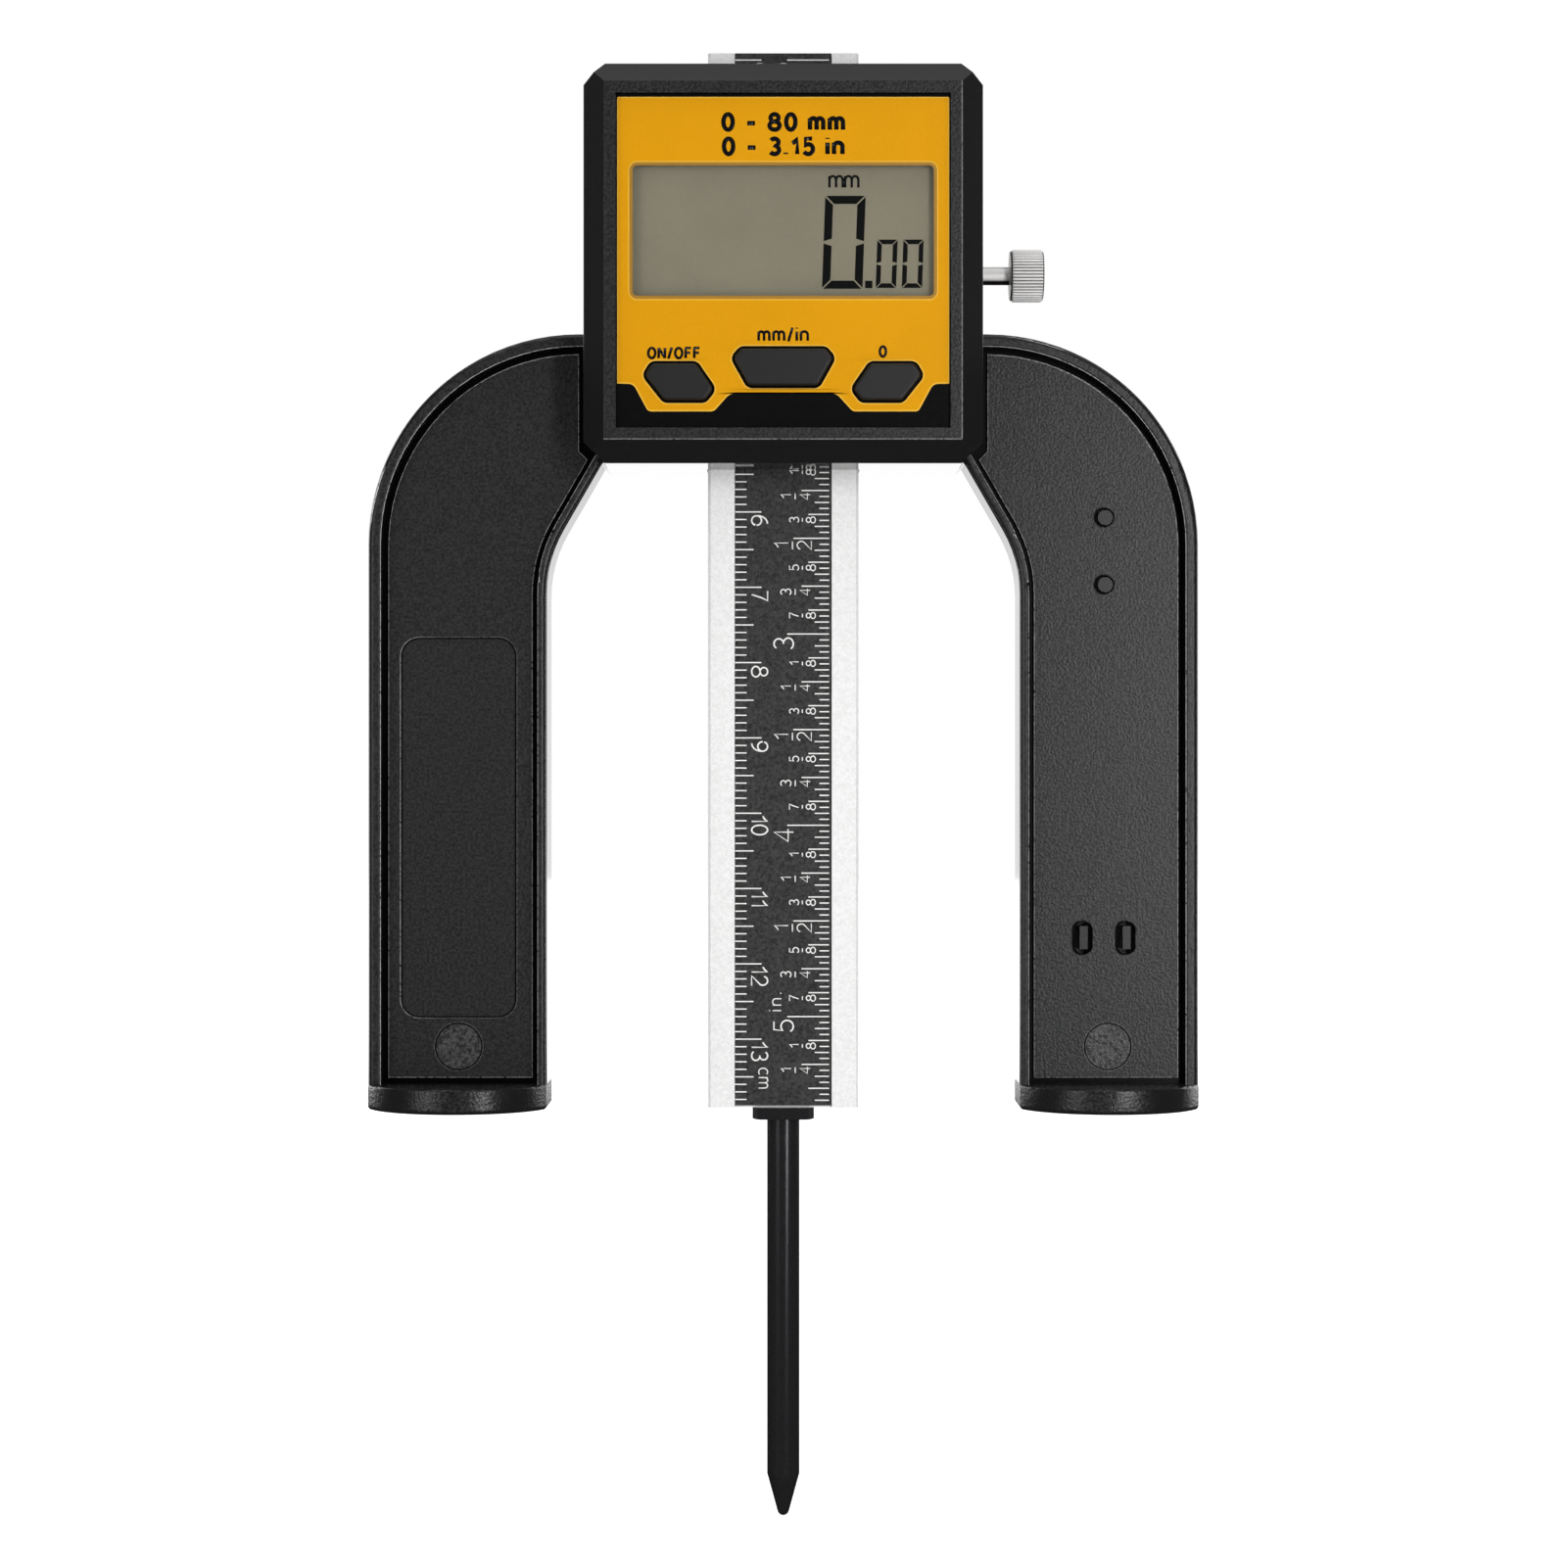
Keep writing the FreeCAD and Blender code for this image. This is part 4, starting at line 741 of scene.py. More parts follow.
def small_marks():
    """The two unit names and the fractions of an inch."""
    strokes = []
    for text, height, turn, x, z, gap in UNIT_NAMES:
        strokes += written(text, height, turn, x, z, gap=gap)
    for i in range(1, LAST_EIGHTH + 1):
        top, bottom = i % 8, 8
        if top == 0:
            continue
        while top % 2 == 0:
            top, bottom = top // 2, bottom // 2
        size, top_foot, bottom_foot, line_x, line_length = FRACTIONS[bottom]
        centre = RULER_ZERO - i * INCH / 8 - FRACTION_DROP - HALF_CHARACTER * size
        strokes += written(str(top), size, -1, top_foot, centre, centred=True)
        strokes += written(str(bottom), size, -1, bottom_foot, centre, centred=True)
        half = line_length / 2
        strokes.append(([(line_x, centre - half), (line_x, centre + half)], False))
    return strokes


class GAUGE_OT_scale_bar(bpy.types.Operator):
    """Blasted aluminium bar with its dark ruler film and the printed graduations"""
    bl_idname = "gauge.scale_bar"
    bl_label = "Scale bar and ruler"

    def execute(self, context):
        sizes, colours = context.scene.gauge_sizes, context.scene.gauge_colours
        # Glass-bead blasting and a clear oxide scatter light almost like white paint, over a metal sheen.
        dress(grained("blasted_anodised_aluminium", colours.aluminium, spread=0.12, roughness=0.55,
                      grain=0.36 * MM, relief=0.014 * MM, shader_values={"Metallic": 0.2}), "scale_bar")
        # Textured polyester film: matte, with a clearly speckled grain.
        dress(grained("ruler_film", colours.label, spread=1.0, roughness=0.62,
                      grain=0.36 * MM, relief=0.03 * MM, shader_values={"IOR": 1.5}), "scale_label")
        # Etched copper bars under epoxy, seen only at the bar's ends.
        dress(grained("etched_grid_laminate", linear("#6B5A2A"), spread=0.2, roughness=0.45,
                      grain=0.4 * MM, relief=0.01 * MM), "scale_grid")
        ink = grained("white_screen_ink", colours.marks, spread=0.06, roughness=0.55,
                      grain=0.15 * MM, relief=0.002 * MM)

        loops = centimetre_ticks(sizes.tick_width) + inch_ticks(sizes.tick_width)
        ticks = flat_shape("ruler_ticks", loops, sizes.ink_thickness)
        large = stroke_shape("ruler_numerals", large_numerals(sizes), sizes.numeral_stroke,
                             sizes.ink_thickness)
        small = stroke_shape("ruler_fractions", small_marks(), sizes.fraction_stroke, sizes.ink_thickness)
        for piece in (ticks, large, small):
            stand_up(piece, LABEL_FRONT)
            paint(piece, ink)
            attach(piece, "bar")
        return {"FINISHED"}


# ---- Face plate --------------------------------------------------------------

# In millimetres: the right half of the yellow field's outline, from the middle of its lower edge up, each
# corner with its radius, and then the buttons' outlines and places.
FIELD_CORNERS = (
    ((6.9, 93.5), 1.4), ((9.0, 91.2), 0.9), ((17.5, 91.2), 0.7), ((19.4, 94.75), 1.1),
    ((21.5, 94.8), 0.0), ((21.5, 131.9), 0.15),
)
SIDE_BUTTON = ((-3.52, 2.38), (2.18, 2.38), (4.46, -0.92), (3.32, -2.37), (-1.88, -2.37), (-4.45, 0.86))
MIDDLE_BUTTON = ((-5.44, 2.4), (5.44, 2.4), (6.48, 1.22), (4.46, -2.37), (-4.46, -2.37), (-6.48, 1.22))
BUTTON_ROUND = 0.85
SIDE_BUTTON_PLACE = (13.48, 95.0)
MIDDLE_BUTTON_PLACE = (0.0, 96.9)
HOLE_GROWTH = 0.36              # printed field to the button's edge
RIM_GROWTH = 0.5 * MM           # window's rim beyond the window, both sides together
RIM_CORNER = 1.0 * MM
TITLE_STROKE = 0.6 * MM
NAME_STROKE = 0.36 * MM
LEGEND_RISE = 0.75              # of its thickness, by which the black ink stands before the yellow

# The plate's lines of print: text, height, middle of its foot, and gap between characters.
TITLE = (
    ("0 – 80 mm", 2.0 * MM, 0.0, 127.65 * MM, 0.42),
    ("0 – 3.15 in", 2.0 * MM, 0.0, 124.5 * MM, 0.42),
)
BUTTON_NAMES = (
    ("ON/OFF", 1.3 * MM, -14.15 * MM, 98.1 * MM, 0.34),
    ("mm/in", 1.6 * MM, 0.0, 100.35 * MM, 0.34),
    ("0", 1.3 * MM, 12.9 * MM, 98.3 * MM, 0.34),
)


def grown(points, distance):
    """Closed outline moved outwards by a distance, its corners kept sharp."""
    moved = []
    count = len(points)
    area = sum(points[i - 1][0] * points[i][1] - points[i][0] * points[i - 1][1] for i in range(count))
    side = 1 if area > 0 else -1
    for i, point in enumerate(points):
        here = Vector(point)
        back = (here - Vector(points[i - 1])).normalized()
        on = (Vector(points[(i + 1) % count]) - here).normalized()
        normal_back = Vector((back.y, -back.x)) * side
        normal_on = Vector((on.y, -on.x)) * side
        middle = (normal_back + normal_on).normalized()
        spot = here + middle * (distance / middle.dot(normal_on))
        moved.append((spot.x, spot.y))
    return moved


def button_holes():
    holes = []
    for outline, (x, z), flip in ((SIDE_BUTTON, (-SIDE_BUTTON_PLACE[0], SIDE_BUTTON_PLACE[1]), 1),
                                  (MIDDLE_BUTTON, MIDDLE_BUTTON_PLACE, 1),
                                  (SIDE_BUTTON, SIDE_BUTTON_PLACE, -1)):
        corners = grown([(x + flip * u, z + v) for u, v in outline], HOLE_GROWTH)
        holes.append(in_metres(rounded(corners, BUTTON_ROUND + HOLE_GROWTH)))
    return holes


def edge_strip(obj, width):
    """Inset the plate's front face, and give the strip left at its edges the second finish, a painted
    highlight.
    """
    select_only(obj)
    front = max(vertex.co.z for vertex in obj.data.vertices)
    bpy.ops.object.mode_set(mode="EDIT")
    bpy.ops.mesh.select_all(action="DESELECT")
    bpy.ops.object.mode_set(mode="OBJECT")
    for face in obj.data.polygons:
        face.select = all(abs(obj.data.vertices[v].co.z - front) < SAME_POINT for v in face.vertices)
    bpy.ops.object.mode_set(mode="EDIT")
    bpy.ops.mesh.select_mode(type="FACE")
    bpy.ops.mesh.inset(thickness=width, depth=0.0, use_boundary=True)
    bpy.ops.object.mode_set(mode="OBJECT")
    for face in obj.data.polygons:
        on_front = all(abs(obj.data.vertices[v].co.z - front) < SAME_POINT for v in face.vertices)
        if not (on_front and face.select):
            face.material_index = 1


def legend(name, lines, stroke, thickness):
    strokes = []
    for text, height, x, z, gap in lines:
        strokes += written(text, height, 0, x, z, centred=True, gap=gap)
    return stroke_shape(name, strokes, stroke, thickness)


class GAUGE_OT_face_plate(bpy.types.Operator):
    """Printed face plate: yellow field with a painted highlight line round it and its holes, range and button
    legends
    """
    bl_idname = "gauge.face_plate"
    bl_label = "Face plate"

    def execute(self, context):
        sizes, colours = context.scene.gauge_sizes, context.scene.gauge_colours
        # Back-printed polycarbonate: deep, smooth black.
        dress(grained("black_printed_polycarbonate", colours.ink, spread=0.1, roughness=0.16,
                      grain=0.4 * MM, relief=0.0005 * MM, shader_values={"IOR": 1.58}), "face_plate")
        # Ink behind the same smooth film, its tone drifting a little over centimetres.
        yellow = grained("yellow_screen_ink", colours.field, spread=0.04, roughness=0.18,
                         grain=0.3 * MM, relief=0.0005 * MM, coarse=9.0 * MM)
        # Painted highlight: a paler yellow strip along every edge of the field, its holes included.
        outline = grained("yellow_edge_highlight", colours.field_edge, spread=0.03, roughness=0.18,
                          grain=0.3 * MM, relief=0.0005 * MM)
        black = grained("black_screen_ink", colours.ink, spread=0.1, roughness=0.2,
                        grain=0.3 * MM, relief=0.0005 * MM)

        corners = [corner for corner, _ in FIELD_CORNERS]
        corners += [(-x, z) for x, z in reversed(corners)]
        radii = [radius for _, radius in FIELD_CORNERS]
        radii += radii[::-1]
        window_hole = window_outline(RIM_GROWTH, RIM_CORNER)
        loops = [in_metres(rounded(corners, radii)), window_hole] + button_holes()
        field = flat_shape("yellow_field", loops, sizes.ink_thickness)
        paint(field, yellow, outline)
        edge_strip(field, sizes.outline_width)

        legends = join([legend("face_title", TITLE, TITLE_STROKE, sizes.ink_thickness),
                        legend("face_names", BUTTON_NAMES, NAME_STROKE, sizes.ink_thickness)], "face_legends")
        paint(legends, black)
        stand_up(field, PLATE_FRONT)
        stand_up(legends, PLATE_FRONT - sizes.ink_thickness * LEGEND_RISE)
        for piece in (field, legends):
            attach(piece, "frame")
        return {"FINISHED"}


# ---- Display -----------------------------------------------------------------

# Lower left corner, width, height, stroke and gap between bars of each nought, in millimetres.
NOUGHTS = (
    (5.03, 107.26, 5.25, 12.06, 1.05, 0.14),
    (12.0, 107.37, 2.64, 6.27, 0.6, 0.09),
    (15.38, 107.37, 2.64, 6.27, 0.6, 0.09),
)
NOUGHT_SLANT = 0.035            # sideways per height
POINT_PLACE = (11.1 * MM, 107.82 * MM)
POINT_SIZE = 0.95 * MM
UNIT_HEIGHT = 2.0 * MM
UNIT_PLACE = (6.0 * MM, 120.4 * MM)
UNIT_GAP = 0.16
UNIT_STROKE = 0.33 * MM
RIM_LAP = 0.3 * MM              # window's rim over the window, both sides together
RIM_INNER_CORNER = 0.6 * MM
RIM_THICKNESS = 0.08 * MM
RIM_RISE = 0.03 * MM


def zero_segments(x, z, width, height, stroke, gap):
    """Six bars of a seven-segment nought, leaning a little to the right."""
    middle = height / 2
    top = [(gap, height), (width - gap, height),
           (width - stroke - gap, height - stroke), (stroke + gap, height - stroke)]
    side = [(0.0, height - gap), (stroke, height - stroke - gap),
            (stroke, middle + stroke * 0.45), (0.0, middle + gap)]
    bars = [top, side, [(width - u, v) for u, v in side]]
    bars += [[(u, height - v) for u, v in bar] for bar in bars]
    return [[((x + u + NOUGHT_SLANT * v) * MM, (z + v) * MM) for u, v in bar] for bar in bars]


class GAUGE_OT_display(bpy.types.Operator):
    """Display glass, clear window with its rim, and the dark segments reading nought"""
    bl_idname = "gauge.display"
    bl_label = "Display"

    def execute(self, context):
        sizes, colours = context.scene.gauge_sizes, context.scene.gauge_colours
        # Reflective cell: brushed reflector behind the polariser gives a speckled grey.
        dress(grained("reflective_display_cell", colours.display, spread=0.07, roughness=0.18,
                      grain=0.3 * MM, relief=0.0005 * MM, coarse=7.0 * MM), "lcd_glass")
        dress(clear_acrylic_window(), "lcd_window")
        dark = grained("display_segment", colours.segment, spread=0.1, roughness=0.18,
                       grain=0.3 * MM, relief=0.0005 * MM)
        # Stamped gilt edge round the window.
        gilt = grained("gilt_window_rim", linear("#A87A1E"), spread=0.08, roughness=0.35,
                       grain=0.3 * MM, relief=0.004 * MM)

        loops = [bar for nought in NOUGHTS for bar in zero_segments(*nought)]
        loops.append(rectangle(*POINT_PLACE, POINT_SIZE, POINT_SIZE))
        digits = flat_shape("display_digits", loops, sizes.ink_thickness)
        unit = stroke_shape("display_unit", written("mm", UNIT_HEIGHT, 0, *UNIT_PLACE, gap=UNIT_GAP),
                            UNIT_STROKE, sizes.ink_thickness)
        reading = join([digits, unit], "display_digits")
        paint(reading, dark)
        stand_up(reading, GLASS_FRONT)

        loops = [window_outline(RIM_GROWTH, RIM_CORNER), window_outline(-RIM_LAP, RIM_INNER_CORNER)]
        rim = flat_shape("window_rim", loops, RIM_THICKNESS)
        paint(rim, gilt)
        stand_up(rim, PLATE_FRONT - RIM_RISE)
        for piece, slot in ((reading, "display_glass"), (rim, "face_print")):
            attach(piece, "frame")
        return {"FINISHED"}


# ---- Plastic, rubber and metal pieces ----------------------------------------

ARROW_ABOVE_FOOT = 13.5 * MM    # arrow's point from the door's lower end
ARROW_LENGTH = 3.4 * MM
ARROW_HALF_WIDTH = 2.2 * MM
ARROW_HALF_TAIL = 0.8 * MM


def arrow(point):
    """Outline of an arrow that points down, its head as long as its tail."""
    neck, end = point + ARROW_LENGTH / 2, point + ARROW_LENGTH
    right = [(ARROW_HALF_WIDTH, neck), (ARROW_HALF_TAIL, neck), (ARROW_HALF_TAIL, end)]
    return [(0.0, point)] + right + [(-x, z) for x, z in reversed(right)]


class GAUGE_OT_housing(bpy.types.Operator):
    """Bridge, head, battery door, probe holder and their moulded grain"""
    bl_idname = "gauge.housing"
    bl_label = "Housing"

    def execute(self, context):
        colours = context.scene.gauge_colours
        plastic = moulded_abs(colours.body)
        dress(plastic, "bridge_body", "front_case", "battery_door")
        # Glass-filled nylon: a touch duller than the housing.
        dress(grained("moulded_nylon", colours.body, spread=0.3, roughness=0.4,
                      grain=0.25 * MM, relief=0.006 * MM, shader_values={"IOR": 1.53}),
              "probe_holder")

        outline = arrow(DOOR_FOOT + ARROW_ABOVE_FOOT)
        mark = flat_shape("door_arrow", [outline], context.scene.gauge_sizes.ink_thickness)
        stand_up(mark, DOOR_BACK)
        # Thin printed ink: flat and grey, worn a little by thumbs.
        paint(mark, grained("grey_pad_ink", linear("#A6A6A4"), spread=0.25, roughness=0.5,
                            grain=0.4 * MM, relief=0.002 * MM))
        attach(mark, "battery_door")
        return {"FINISHED"}


class GAUGE_OT_buttons(bpy.types.Operator):
    """Three dark grey push buttons"""
    bl_idname = "gauge.buttons"
    bl_label = "Buttons"

    def execute(self, context):
        colours = context.scene.gauge_colours
        # Polished tool, so the caps are smoother than the housing and catch a soft edge light.
        dress(grained("smooth_moulded_abs", colours.button, spread=0.05, roughness=0.45,
                      grain=0.3 * MM, relief=0.001 * MM, shader_values={"IOR": 1.5}),
              "left_button", "middle_button", "right_button")
        return {"FINISHED"}


class GAUGE_OT_probe(bpy.types.Operator):
    """Black oxide steel probe"""
    bl_idname = "gauge.probe"
    bl_label = "Probe"

    def execute(self, context):
        colours = context.scene.gauge_colours
        # Oiled black oxide over turned steel: a thin bright line along it, and edges that stay dark.
        dress(grained("black_oxide_steel", colours.probe, spread=0.25, roughness=0.2,
                      grain=0.25 * MM, relief=0.003 * MM,
                      shader_values={"Metallic": 0.75, "Specular Tint": opaque(linear("#303030"))}), "probe")
        return {"FINISHED"}


def knurled_nickel(colour):
    """Bright nickel over turned brass, slightly dulled by handling, with painted shade in the knurl's
    grooves.
    """
    material, tree = new_material("knurled_bright_nickel")
    place = add_node(tree, "TexCoord").outputs["Object"]
    spot = add_node(tree, "SeparateXYZ", {0: place}).outputs
    grain_size = 0.3 * MM
    fine = add_node(tree, "TexNoise", {"Vector": place, "Scale": 1 / grain_size, "Detail": 2.0})
    axis_y, axis_z = [(KNOB_LOW[i] + KNOB_HIGH[i]) / 2 for i in (1, 2)]
    radius = (KNOB_HIGH[2] - KNOB_LOW[2]) / 2
    known = {"place": place, "x": spot["X"], "z": spot["Z"], "fine": fine}
    add_steps(tree, known, (
        ("across", "VectorMath", "MULTIPLY", "place", (0.0, 1.0, 1.0)),
        ("off_axis", "VectorMath", "DISTANCE", "across", (0.0, axis_y, axis_z)),
        ("ridge", "MapRange", "LINEAR", "off_axis", radius - 0.95 * KNURL_DEPTH, radius - 0.45 * KNURL_DEPTH),
        ("inner", "Math", "LESS_THAN", "off_axis", radius - 1.5 * KNURL_DEPTH),
        # A painted dark reflection darkens the underside of the shank.
        ("on_shank", "Math", "LESS_THAN", "x", KNOB_HIGH[0] - KNOB_LENGTH),
        ("under", "MapRange", "LINEAR", "z", axis_z - 0.5 * SHANK_RADIUS, axis_z - 0.7 * SHANK_RADIUS),
        ("on_skin", "Math", "COMPARE", "off_axis", SHANK_RADIUS, 0.3 * MM),
        ("shank_under", "Math", "MULTIPLY", "on_shank", "under"),
        ("oiled", "Math", "MULTIPLY", "shank_under", "on_skin"),
        ("smooth", "Math", "SUBTRACT", "inner", "oiled"),
        # clean is where neither painted shade nor painted reflection lies: the ridges and the rest of the
        # shank.
        ("clean", "Math", "MAXIMUM", "ridge", "smooth"),
        ("gloss", "MapRange", "LINEAR", "fine", 0.0, 1.0, 0.3, 0.42),
    ))
    dull, bright = [opaque([min(c * share, 1.0) for c in colour]) for share in (0.88, 1.06)]
    # Painted shade: the grooves and the shank's underside take a near-black colour.
    groove_shade_colour = opaque(linear("#161412"))
    metal = add_node(tree, "Mix", {0: fine, 6: dull, 7: bright}, data_type="RGBA")
    tone = add_node(tree, "Mix", {0: known["clean"], 6: groove_shade_colour, 7: metal}, data_type="RGBA")
    bump = add_node(tree, "Bump", {"Height": fine, "Strength": 1.0, "Distance": 0.008 * MM})
    shader = add_node(tree, "BsdfPrincipled", {"Base Color": tone, "Metallic": 0.22,
                                               "Roughness": known["gloss"], "Normal": bump})
    add_node(tree, "OutputMaterial", {"Surface": shader})
    return material


class GAUGE_OT_lock_screw(bpy.types.Operator):
    """Knurled nickel lock screw with its brass insert and nylon pad"""
    bl_idname = "gauge.lock_screw"
    bl_label = "Lock screw"

    def execute(self, context):
        colours = context.scene.gauge_colours
        dress(knurled_nickel(colours.nickel), "lock_screw")
        # Turned free-cutting brass.
        dress(grained("turned_brass", linear("#C9A45A"), spread=0.08, roughness=0.3,
                      grain=0.2 * MM, relief=0.003 * MM, shader_values=METAL),
              "lock_insert", "gib_strip")
        # Unfilled nylon, cut from rod: milky and soft looking.
        dress(grained("natural_nylon", linear("#E4E0D4"), spread=0.04, roughness=0.5,
                      grain=0.4 * MM, relief=0.004 * MM, shader_values={"IOR": 1.53}),
              "lock_pad")
        return {"FINISHED"}


class GAUGE_OT_small_metal(bpy.types.Operator):
    """Screws, springs, magnets, battery and its contacts"""
    bl_idname = "gauge.small_metal"
    bl_label = "Small metal parts"

    def execute(self, context):
        # Clear zinc plate: bluish grey, finely mottled.
        dress(grained("zinc_plated_steel", linear("#A9ADB0"), spread=0.1, roughness=0.34,
                      grain=0.25 * MM, relief=0.004 * MM, shader_values=METAL),
              "case_screws", "board_screws", "stop_screw")
        # Cold-rolled strip, bright and smooth.
        dress(grained("spring_steel_strip", linear("#9DA0A4"), spread=0.06, roughness=0.28,
                      grain=0.4 * MM, relief=0.002 * MM, shader_values=METAL),
              "gib_springs")
        # Nickel over sintered magnet: soft shine with tiny pits.
        dress(grained("nickel_plated_magnet", linear("#C4C3BF"), spread=0.06, roughness=0.26,
                      grain=0.5 * MM, relief=0.006 * MM, shader_values=METAL),
              "left_magnet", "right_magnet")
        # Drawn steel can and stamped contacts, both nickel plated.
        dress(grained("nickel_plated_can", linear("#CBCBC8"), spread=0.05, roughness=0.24,
                      grain=0.4 * MM, relief=0.002 * MM, shader_values=METAL),
              "coin_cell", "battery_contact_plus", "battery_contact_minus")
        return {"FINISHED"}


class GAUGE_OT_electronics(bpy.types.Operator):
    """Circuit board, chip, switches, connectors and display holder"""
    bl_idname = "gauge.electronics"
    bl_label = "Electronics"

    def execute(self, context):
        dress(solder_masked_board(), "main_board")
        # Dispensed epoxy: glossy black drop.
        dress(grained("epoxy_drop", linear("#121212"), spread=0.1, roughness=0.25,
                      grain=1.0 * MM, relief=0.004 * MM, shader_values={"IOR": 1.55}),
              "control_chip")
        # Moulded switch bodies: matt dark plastic.
        dress(grained("switch_nylon", linear("#2F2F30"), spread=0.1, roughness=0.5,
                      grain=0.3 * MM, relief=0.004 * MM), "tact_switches")
        dress(layered_connector_rubber(), "zebra_strips")
        # Plain white ABS carrier.
        dress(grained("white_abs", linear("#DADAD6"), spread=0.03, roughness=0.45,
                      grain=0.3 * MM, relief=0.003 * MM), "lcd_holder")
        return {"FINISHED"}


# ---- Studio ------------------------------------------------------------------

GLOW_FROM, GLOW_TO = 0.55, 0.7          # how far back reflections of the sweep begin and cease to brighten
NEAR_GLOW, FAR_GLOW = 0.05, 1.7
FLOOR_BRIGHTNESS = 0.78                 # added to what the lamps give, to the eye alone


def studio_floor_finish():
    """White sweep: pure white to the eye and in reflections behind the gauge, darker towards the viewer."""
    material, tree = new_material("white_sweep")
    rays = add_node(tree, "LightPath").outputs
    mirrored = add_node(tree, "Math", {0: rays["Is Glossy Ray"], 1: rays["Is Transmission Ray"]},
                        operation="MAXIMUM")
    spot = add_node(tree, "SeparateXYZ", {0: add_node(tree, "NewGeometry").outputs["Position"]})
    # A black card lies under the gauge, so only what looks far back is lit from below.
    depth = add_node(tree, "MapRange", {"Value": spot.outputs["Y"], "From Min": GLOW_FROM,
                                        "From Max": GLOW_TO, "To Min": NEAR_GLOW, "To Max": FAR_GLOW},
                     interpolation_type="SMOOTHSTEP")
    diffuse = add_node(tree, "BsdfDiffuse", {"Color": opaque(linear("#E6E6E6"))})
    seen_light = add_node(tree, "Emission", {"Color": WHITE, "Strength": FLOOR_BRIGHTNESS})
    seen = add_node(tree, "AddShader", {0: diffuse, 1: seen_light})
    glow = add_node(tree, "Emission", {"Color": WHITE, "Strength": depth})
    direct = add_node(tree, "MixShader", {0: rays["Is Camera Ray"], 1: diffuse, 2: seen})
    sweep = add_node(tree, "MixShader", {0: mirrored, 1: direct, 2: glow})
    add_node(tree, "OutputMaterial", {"Surface": sweep})
    return material


CEILING_FROM, CEILING_TO = 0.6, 0.95    # how far up a ray points where the ceiling begins and is full
BACKDROP_FROM, BACKDROP_TO = 0.6, 0.97  # the same for how far it points back
FLAG_LIGHT, CEILING_LIGHT, BACKDROP_LIGHT = 0.04, 0.4, 1.1
ROOM_LIGHT = 0.53                       # what lights dull surfaces from all sides


def studio_world(world):
    """White backdrop behind and a white ceiling; black flags stand to both sides and round the camera."""
    world.use_nodes = True
    tree = world.node_tree
    tree.nodes.clear()
    rays = add_node(tree, "LightPath").outputs
    way = add_node(tree, "SeparateXYZ", {0: add_node(tree, "TexCoord").outputs["Generated"]}).outputs
    known = {"up": way["Z"], "back": way["Y"], "glossy": rays["Is Glossy Ray"],
             "passed": rays["Is Transmission Ray"]}
    add_steps(tree, known, (
        ("ceiling", "MapRange", "SMOOTHSTEP", "up", CEILING_FROM, CEILING_TO, FLAG_LIGHT, CEILING_LIGHT),
        ("backdrop", "MapRange", "SMOOTHSTEP", "back", BACKDROP_FROM, BACKDROP_TO, 0.0, BACKDROP_LIGHT),
        ("mirror_light", "Math", "MAXIMUM", "ceiling", "backdrop"),
        ("mirrored", "Math", "MAXIMUM", "glossy", "passed"),
    ))
    soft = add_node(tree, "Mix", {0: known["mirrored"], 2: ROOM_LIGHT, 3: known["mirror_light"]},
                    data_type="FLOAT")
    level = add_node(tree, "Mix", {0: rays["Is Camera Ray"], 2: soft, 3: 1.0}, data_type="FLOAT")
    back = add_node(tree, "Background", {"Color": WHITE, "Strength": level})
    add_node(tree, "OutputWorld", {"Surface": back})


LAMP_TARGET = (0.0, 0.0, 0.05)

# Name, place, width and height, and watts of each soft box.
LAMPS = (
    ("key_box", (0.155, -0.33, 0.05), (0.06, 0.3), 0.6),
    ("fill_box", (-0.5, -0.6, 0.02), (0.3, 0.5), 1.4),
    ("top_box", (0.0, -0.15, 0.75), (0.7, 0.5), 0.8),
    ("left_rim_box", (-0.6, 0.45, 0.15), (0.4, 0.6), 2.2),
    ("right_rim_box", (0.6, 0.45, 0.15), (0.4, 0.6), 2.2),
)
CAMERA_PLACE = (0.0001, -0.452, 0.04298)
CAMERA_LENS = 77.81
CAMERA_SENSOR = 36.0


def soft_box(name, place, size, watts):
    bpy.ops.object.light_add(type="AREA", location=place)
    lamp = bpy.context.object
    lamp.name = name
    lamp.data.shape = "RECTANGLE"
    lamp.data.size, lamp.data.size_y = size
    lamp.data.energy = watts
    lamp.visible_camera = False
    lamp.rotation_euler = (Vector(LAMP_TARGET) - Vector(place)).to_track_quat("-Z", "Y").to_euler()


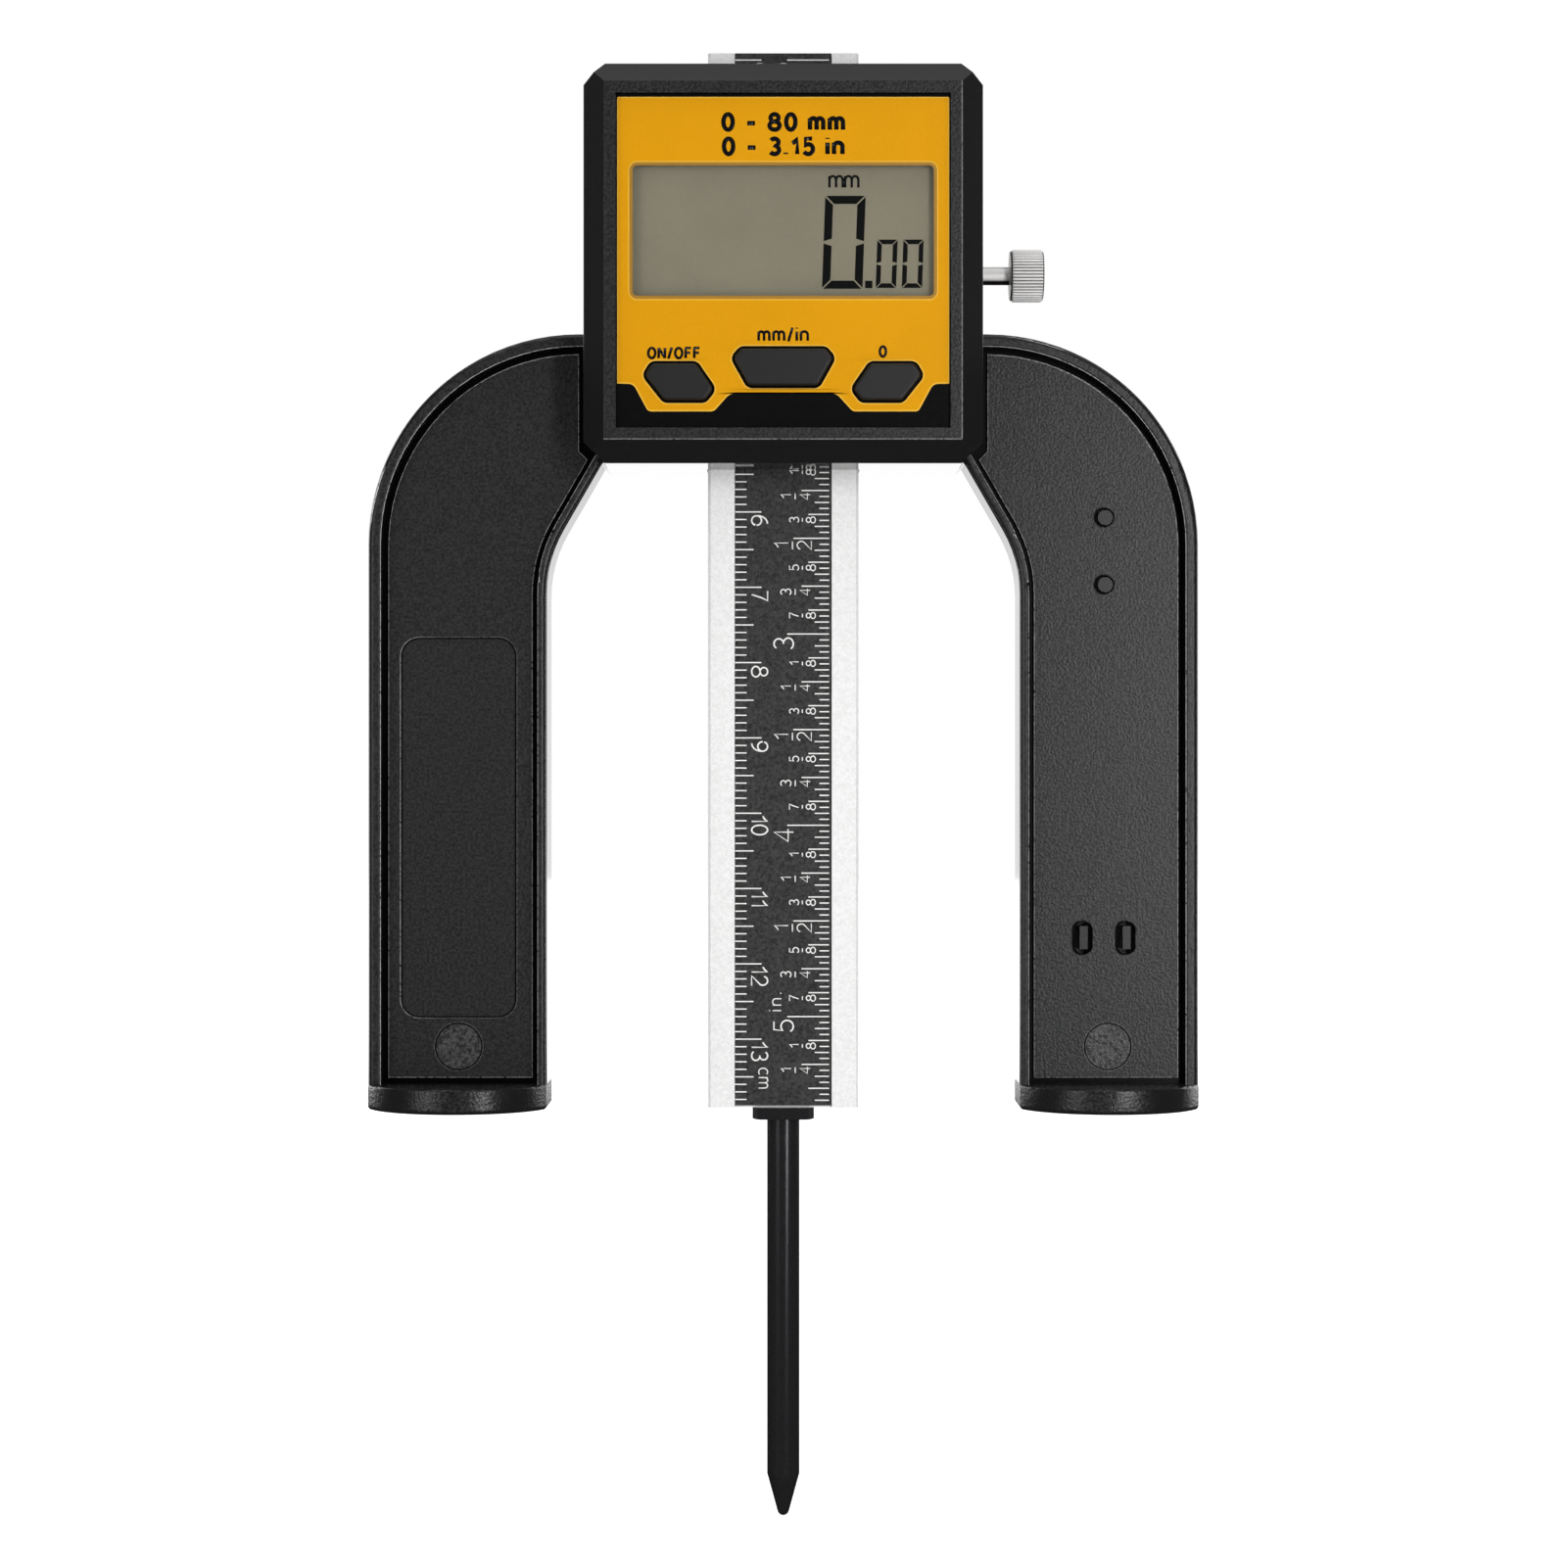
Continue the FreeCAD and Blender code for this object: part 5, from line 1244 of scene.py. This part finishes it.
class GAUGE_OT_studio(bpy.types.Operator):
    """White floor and backdrop, soft boxes and the camera"""
    bl_idname = "gauge.studio"
    bl_label = "Studio"

    def execute(self, context):
        sizes = context.scene.gauge_sizes
        bpy.ops.object.select_all(action="DESELECT")
        bpy.ops.mesh.primitive_plane_add(size=sizes.floor_size, location=(0.0, 0.0, FLOOR_HEIGHT))
        floor = context.object
        floor.name = "studio_floor"
        apply_place(floor)
        paint(floor, studio_floor_finish())

        world = context.scene.world or bpy.data.worlds.new("studio")
        context.scene.world = world
        studio_world(world)

        for lamp in LAMPS:
            soft_box(*lamp)

        bpy.ops.object.camera_add(location=CAMERA_PLACE, rotation=(math.pi / 2, 0.0, 0.0))
        camera = context.object
        camera.data.lens = CAMERA_LENS
        camera.data.sensor_width = CAMERA_SENSOR
        camera.data.clip_start = 0.01
        camera.data.dof.use_dof = False
        context.scene.camera = camera
        context.scene.view_settings.view_transform = "Standard"
        return {"FINISHED"}


# ---- Add-on ------------------------------------------------------------------

OPERATORS = (
    GAUGE_OT_housing, GAUGE_OT_buttons, GAUGE_OT_face_plate, GAUGE_OT_display, GAUGE_OT_scale_bar,
    GAUGE_OT_probe, GAUGE_OT_lock_screw, GAUGE_OT_small_metal, GAUGE_OT_electronics, GAUGE_OT_studio,
)


class GAUGE_PT_panel(bpy.types.Panel):
    """Lists the gauge's operators, sizes and colours"""
    bl_idname = "GAUGE_PT_panel"
    bl_label = "Depth Gauge"
    bl_space_type = "VIEW_3D"
    bl_region_type = "UI"
    bl_category = "Depth Gauge"

    def draw(self, context):
        for operator in OPERATORS:
            self.layout.operator(operator.bl_idname)
        for group in (context.scene.gauge_sizes, context.scene.gauge_colours):
            for name in group.__annotations__:
                self.layout.prop(group, name)


CLASSES = (GaugeSizes, GaugeColours) + OPERATORS + (GAUGE_PT_panel,)


def register():
    for cls in CLASSES:
        bpy.utils.register_class(cls)
    bpy.types.Scene.gauge_sizes = PointerProperty(type=GaugeSizes)
    bpy.types.Scene.gauge_colours = PointerProperty(type=GaugeColours)


def unregister():
    del bpy.types.Scene.gauge_colours
    del bpy.types.Scene.gauge_sizes
    for cls in reversed(CLASSES):
        bpy.utils.unregister_class(cls)


def main():
    register()
    for operator in OPERATORS:
        group, name = operator.bl_idname.split(".")
        getattr(getattr(bpy.ops, group), name)()


if __name__ == "__main__":
    main()
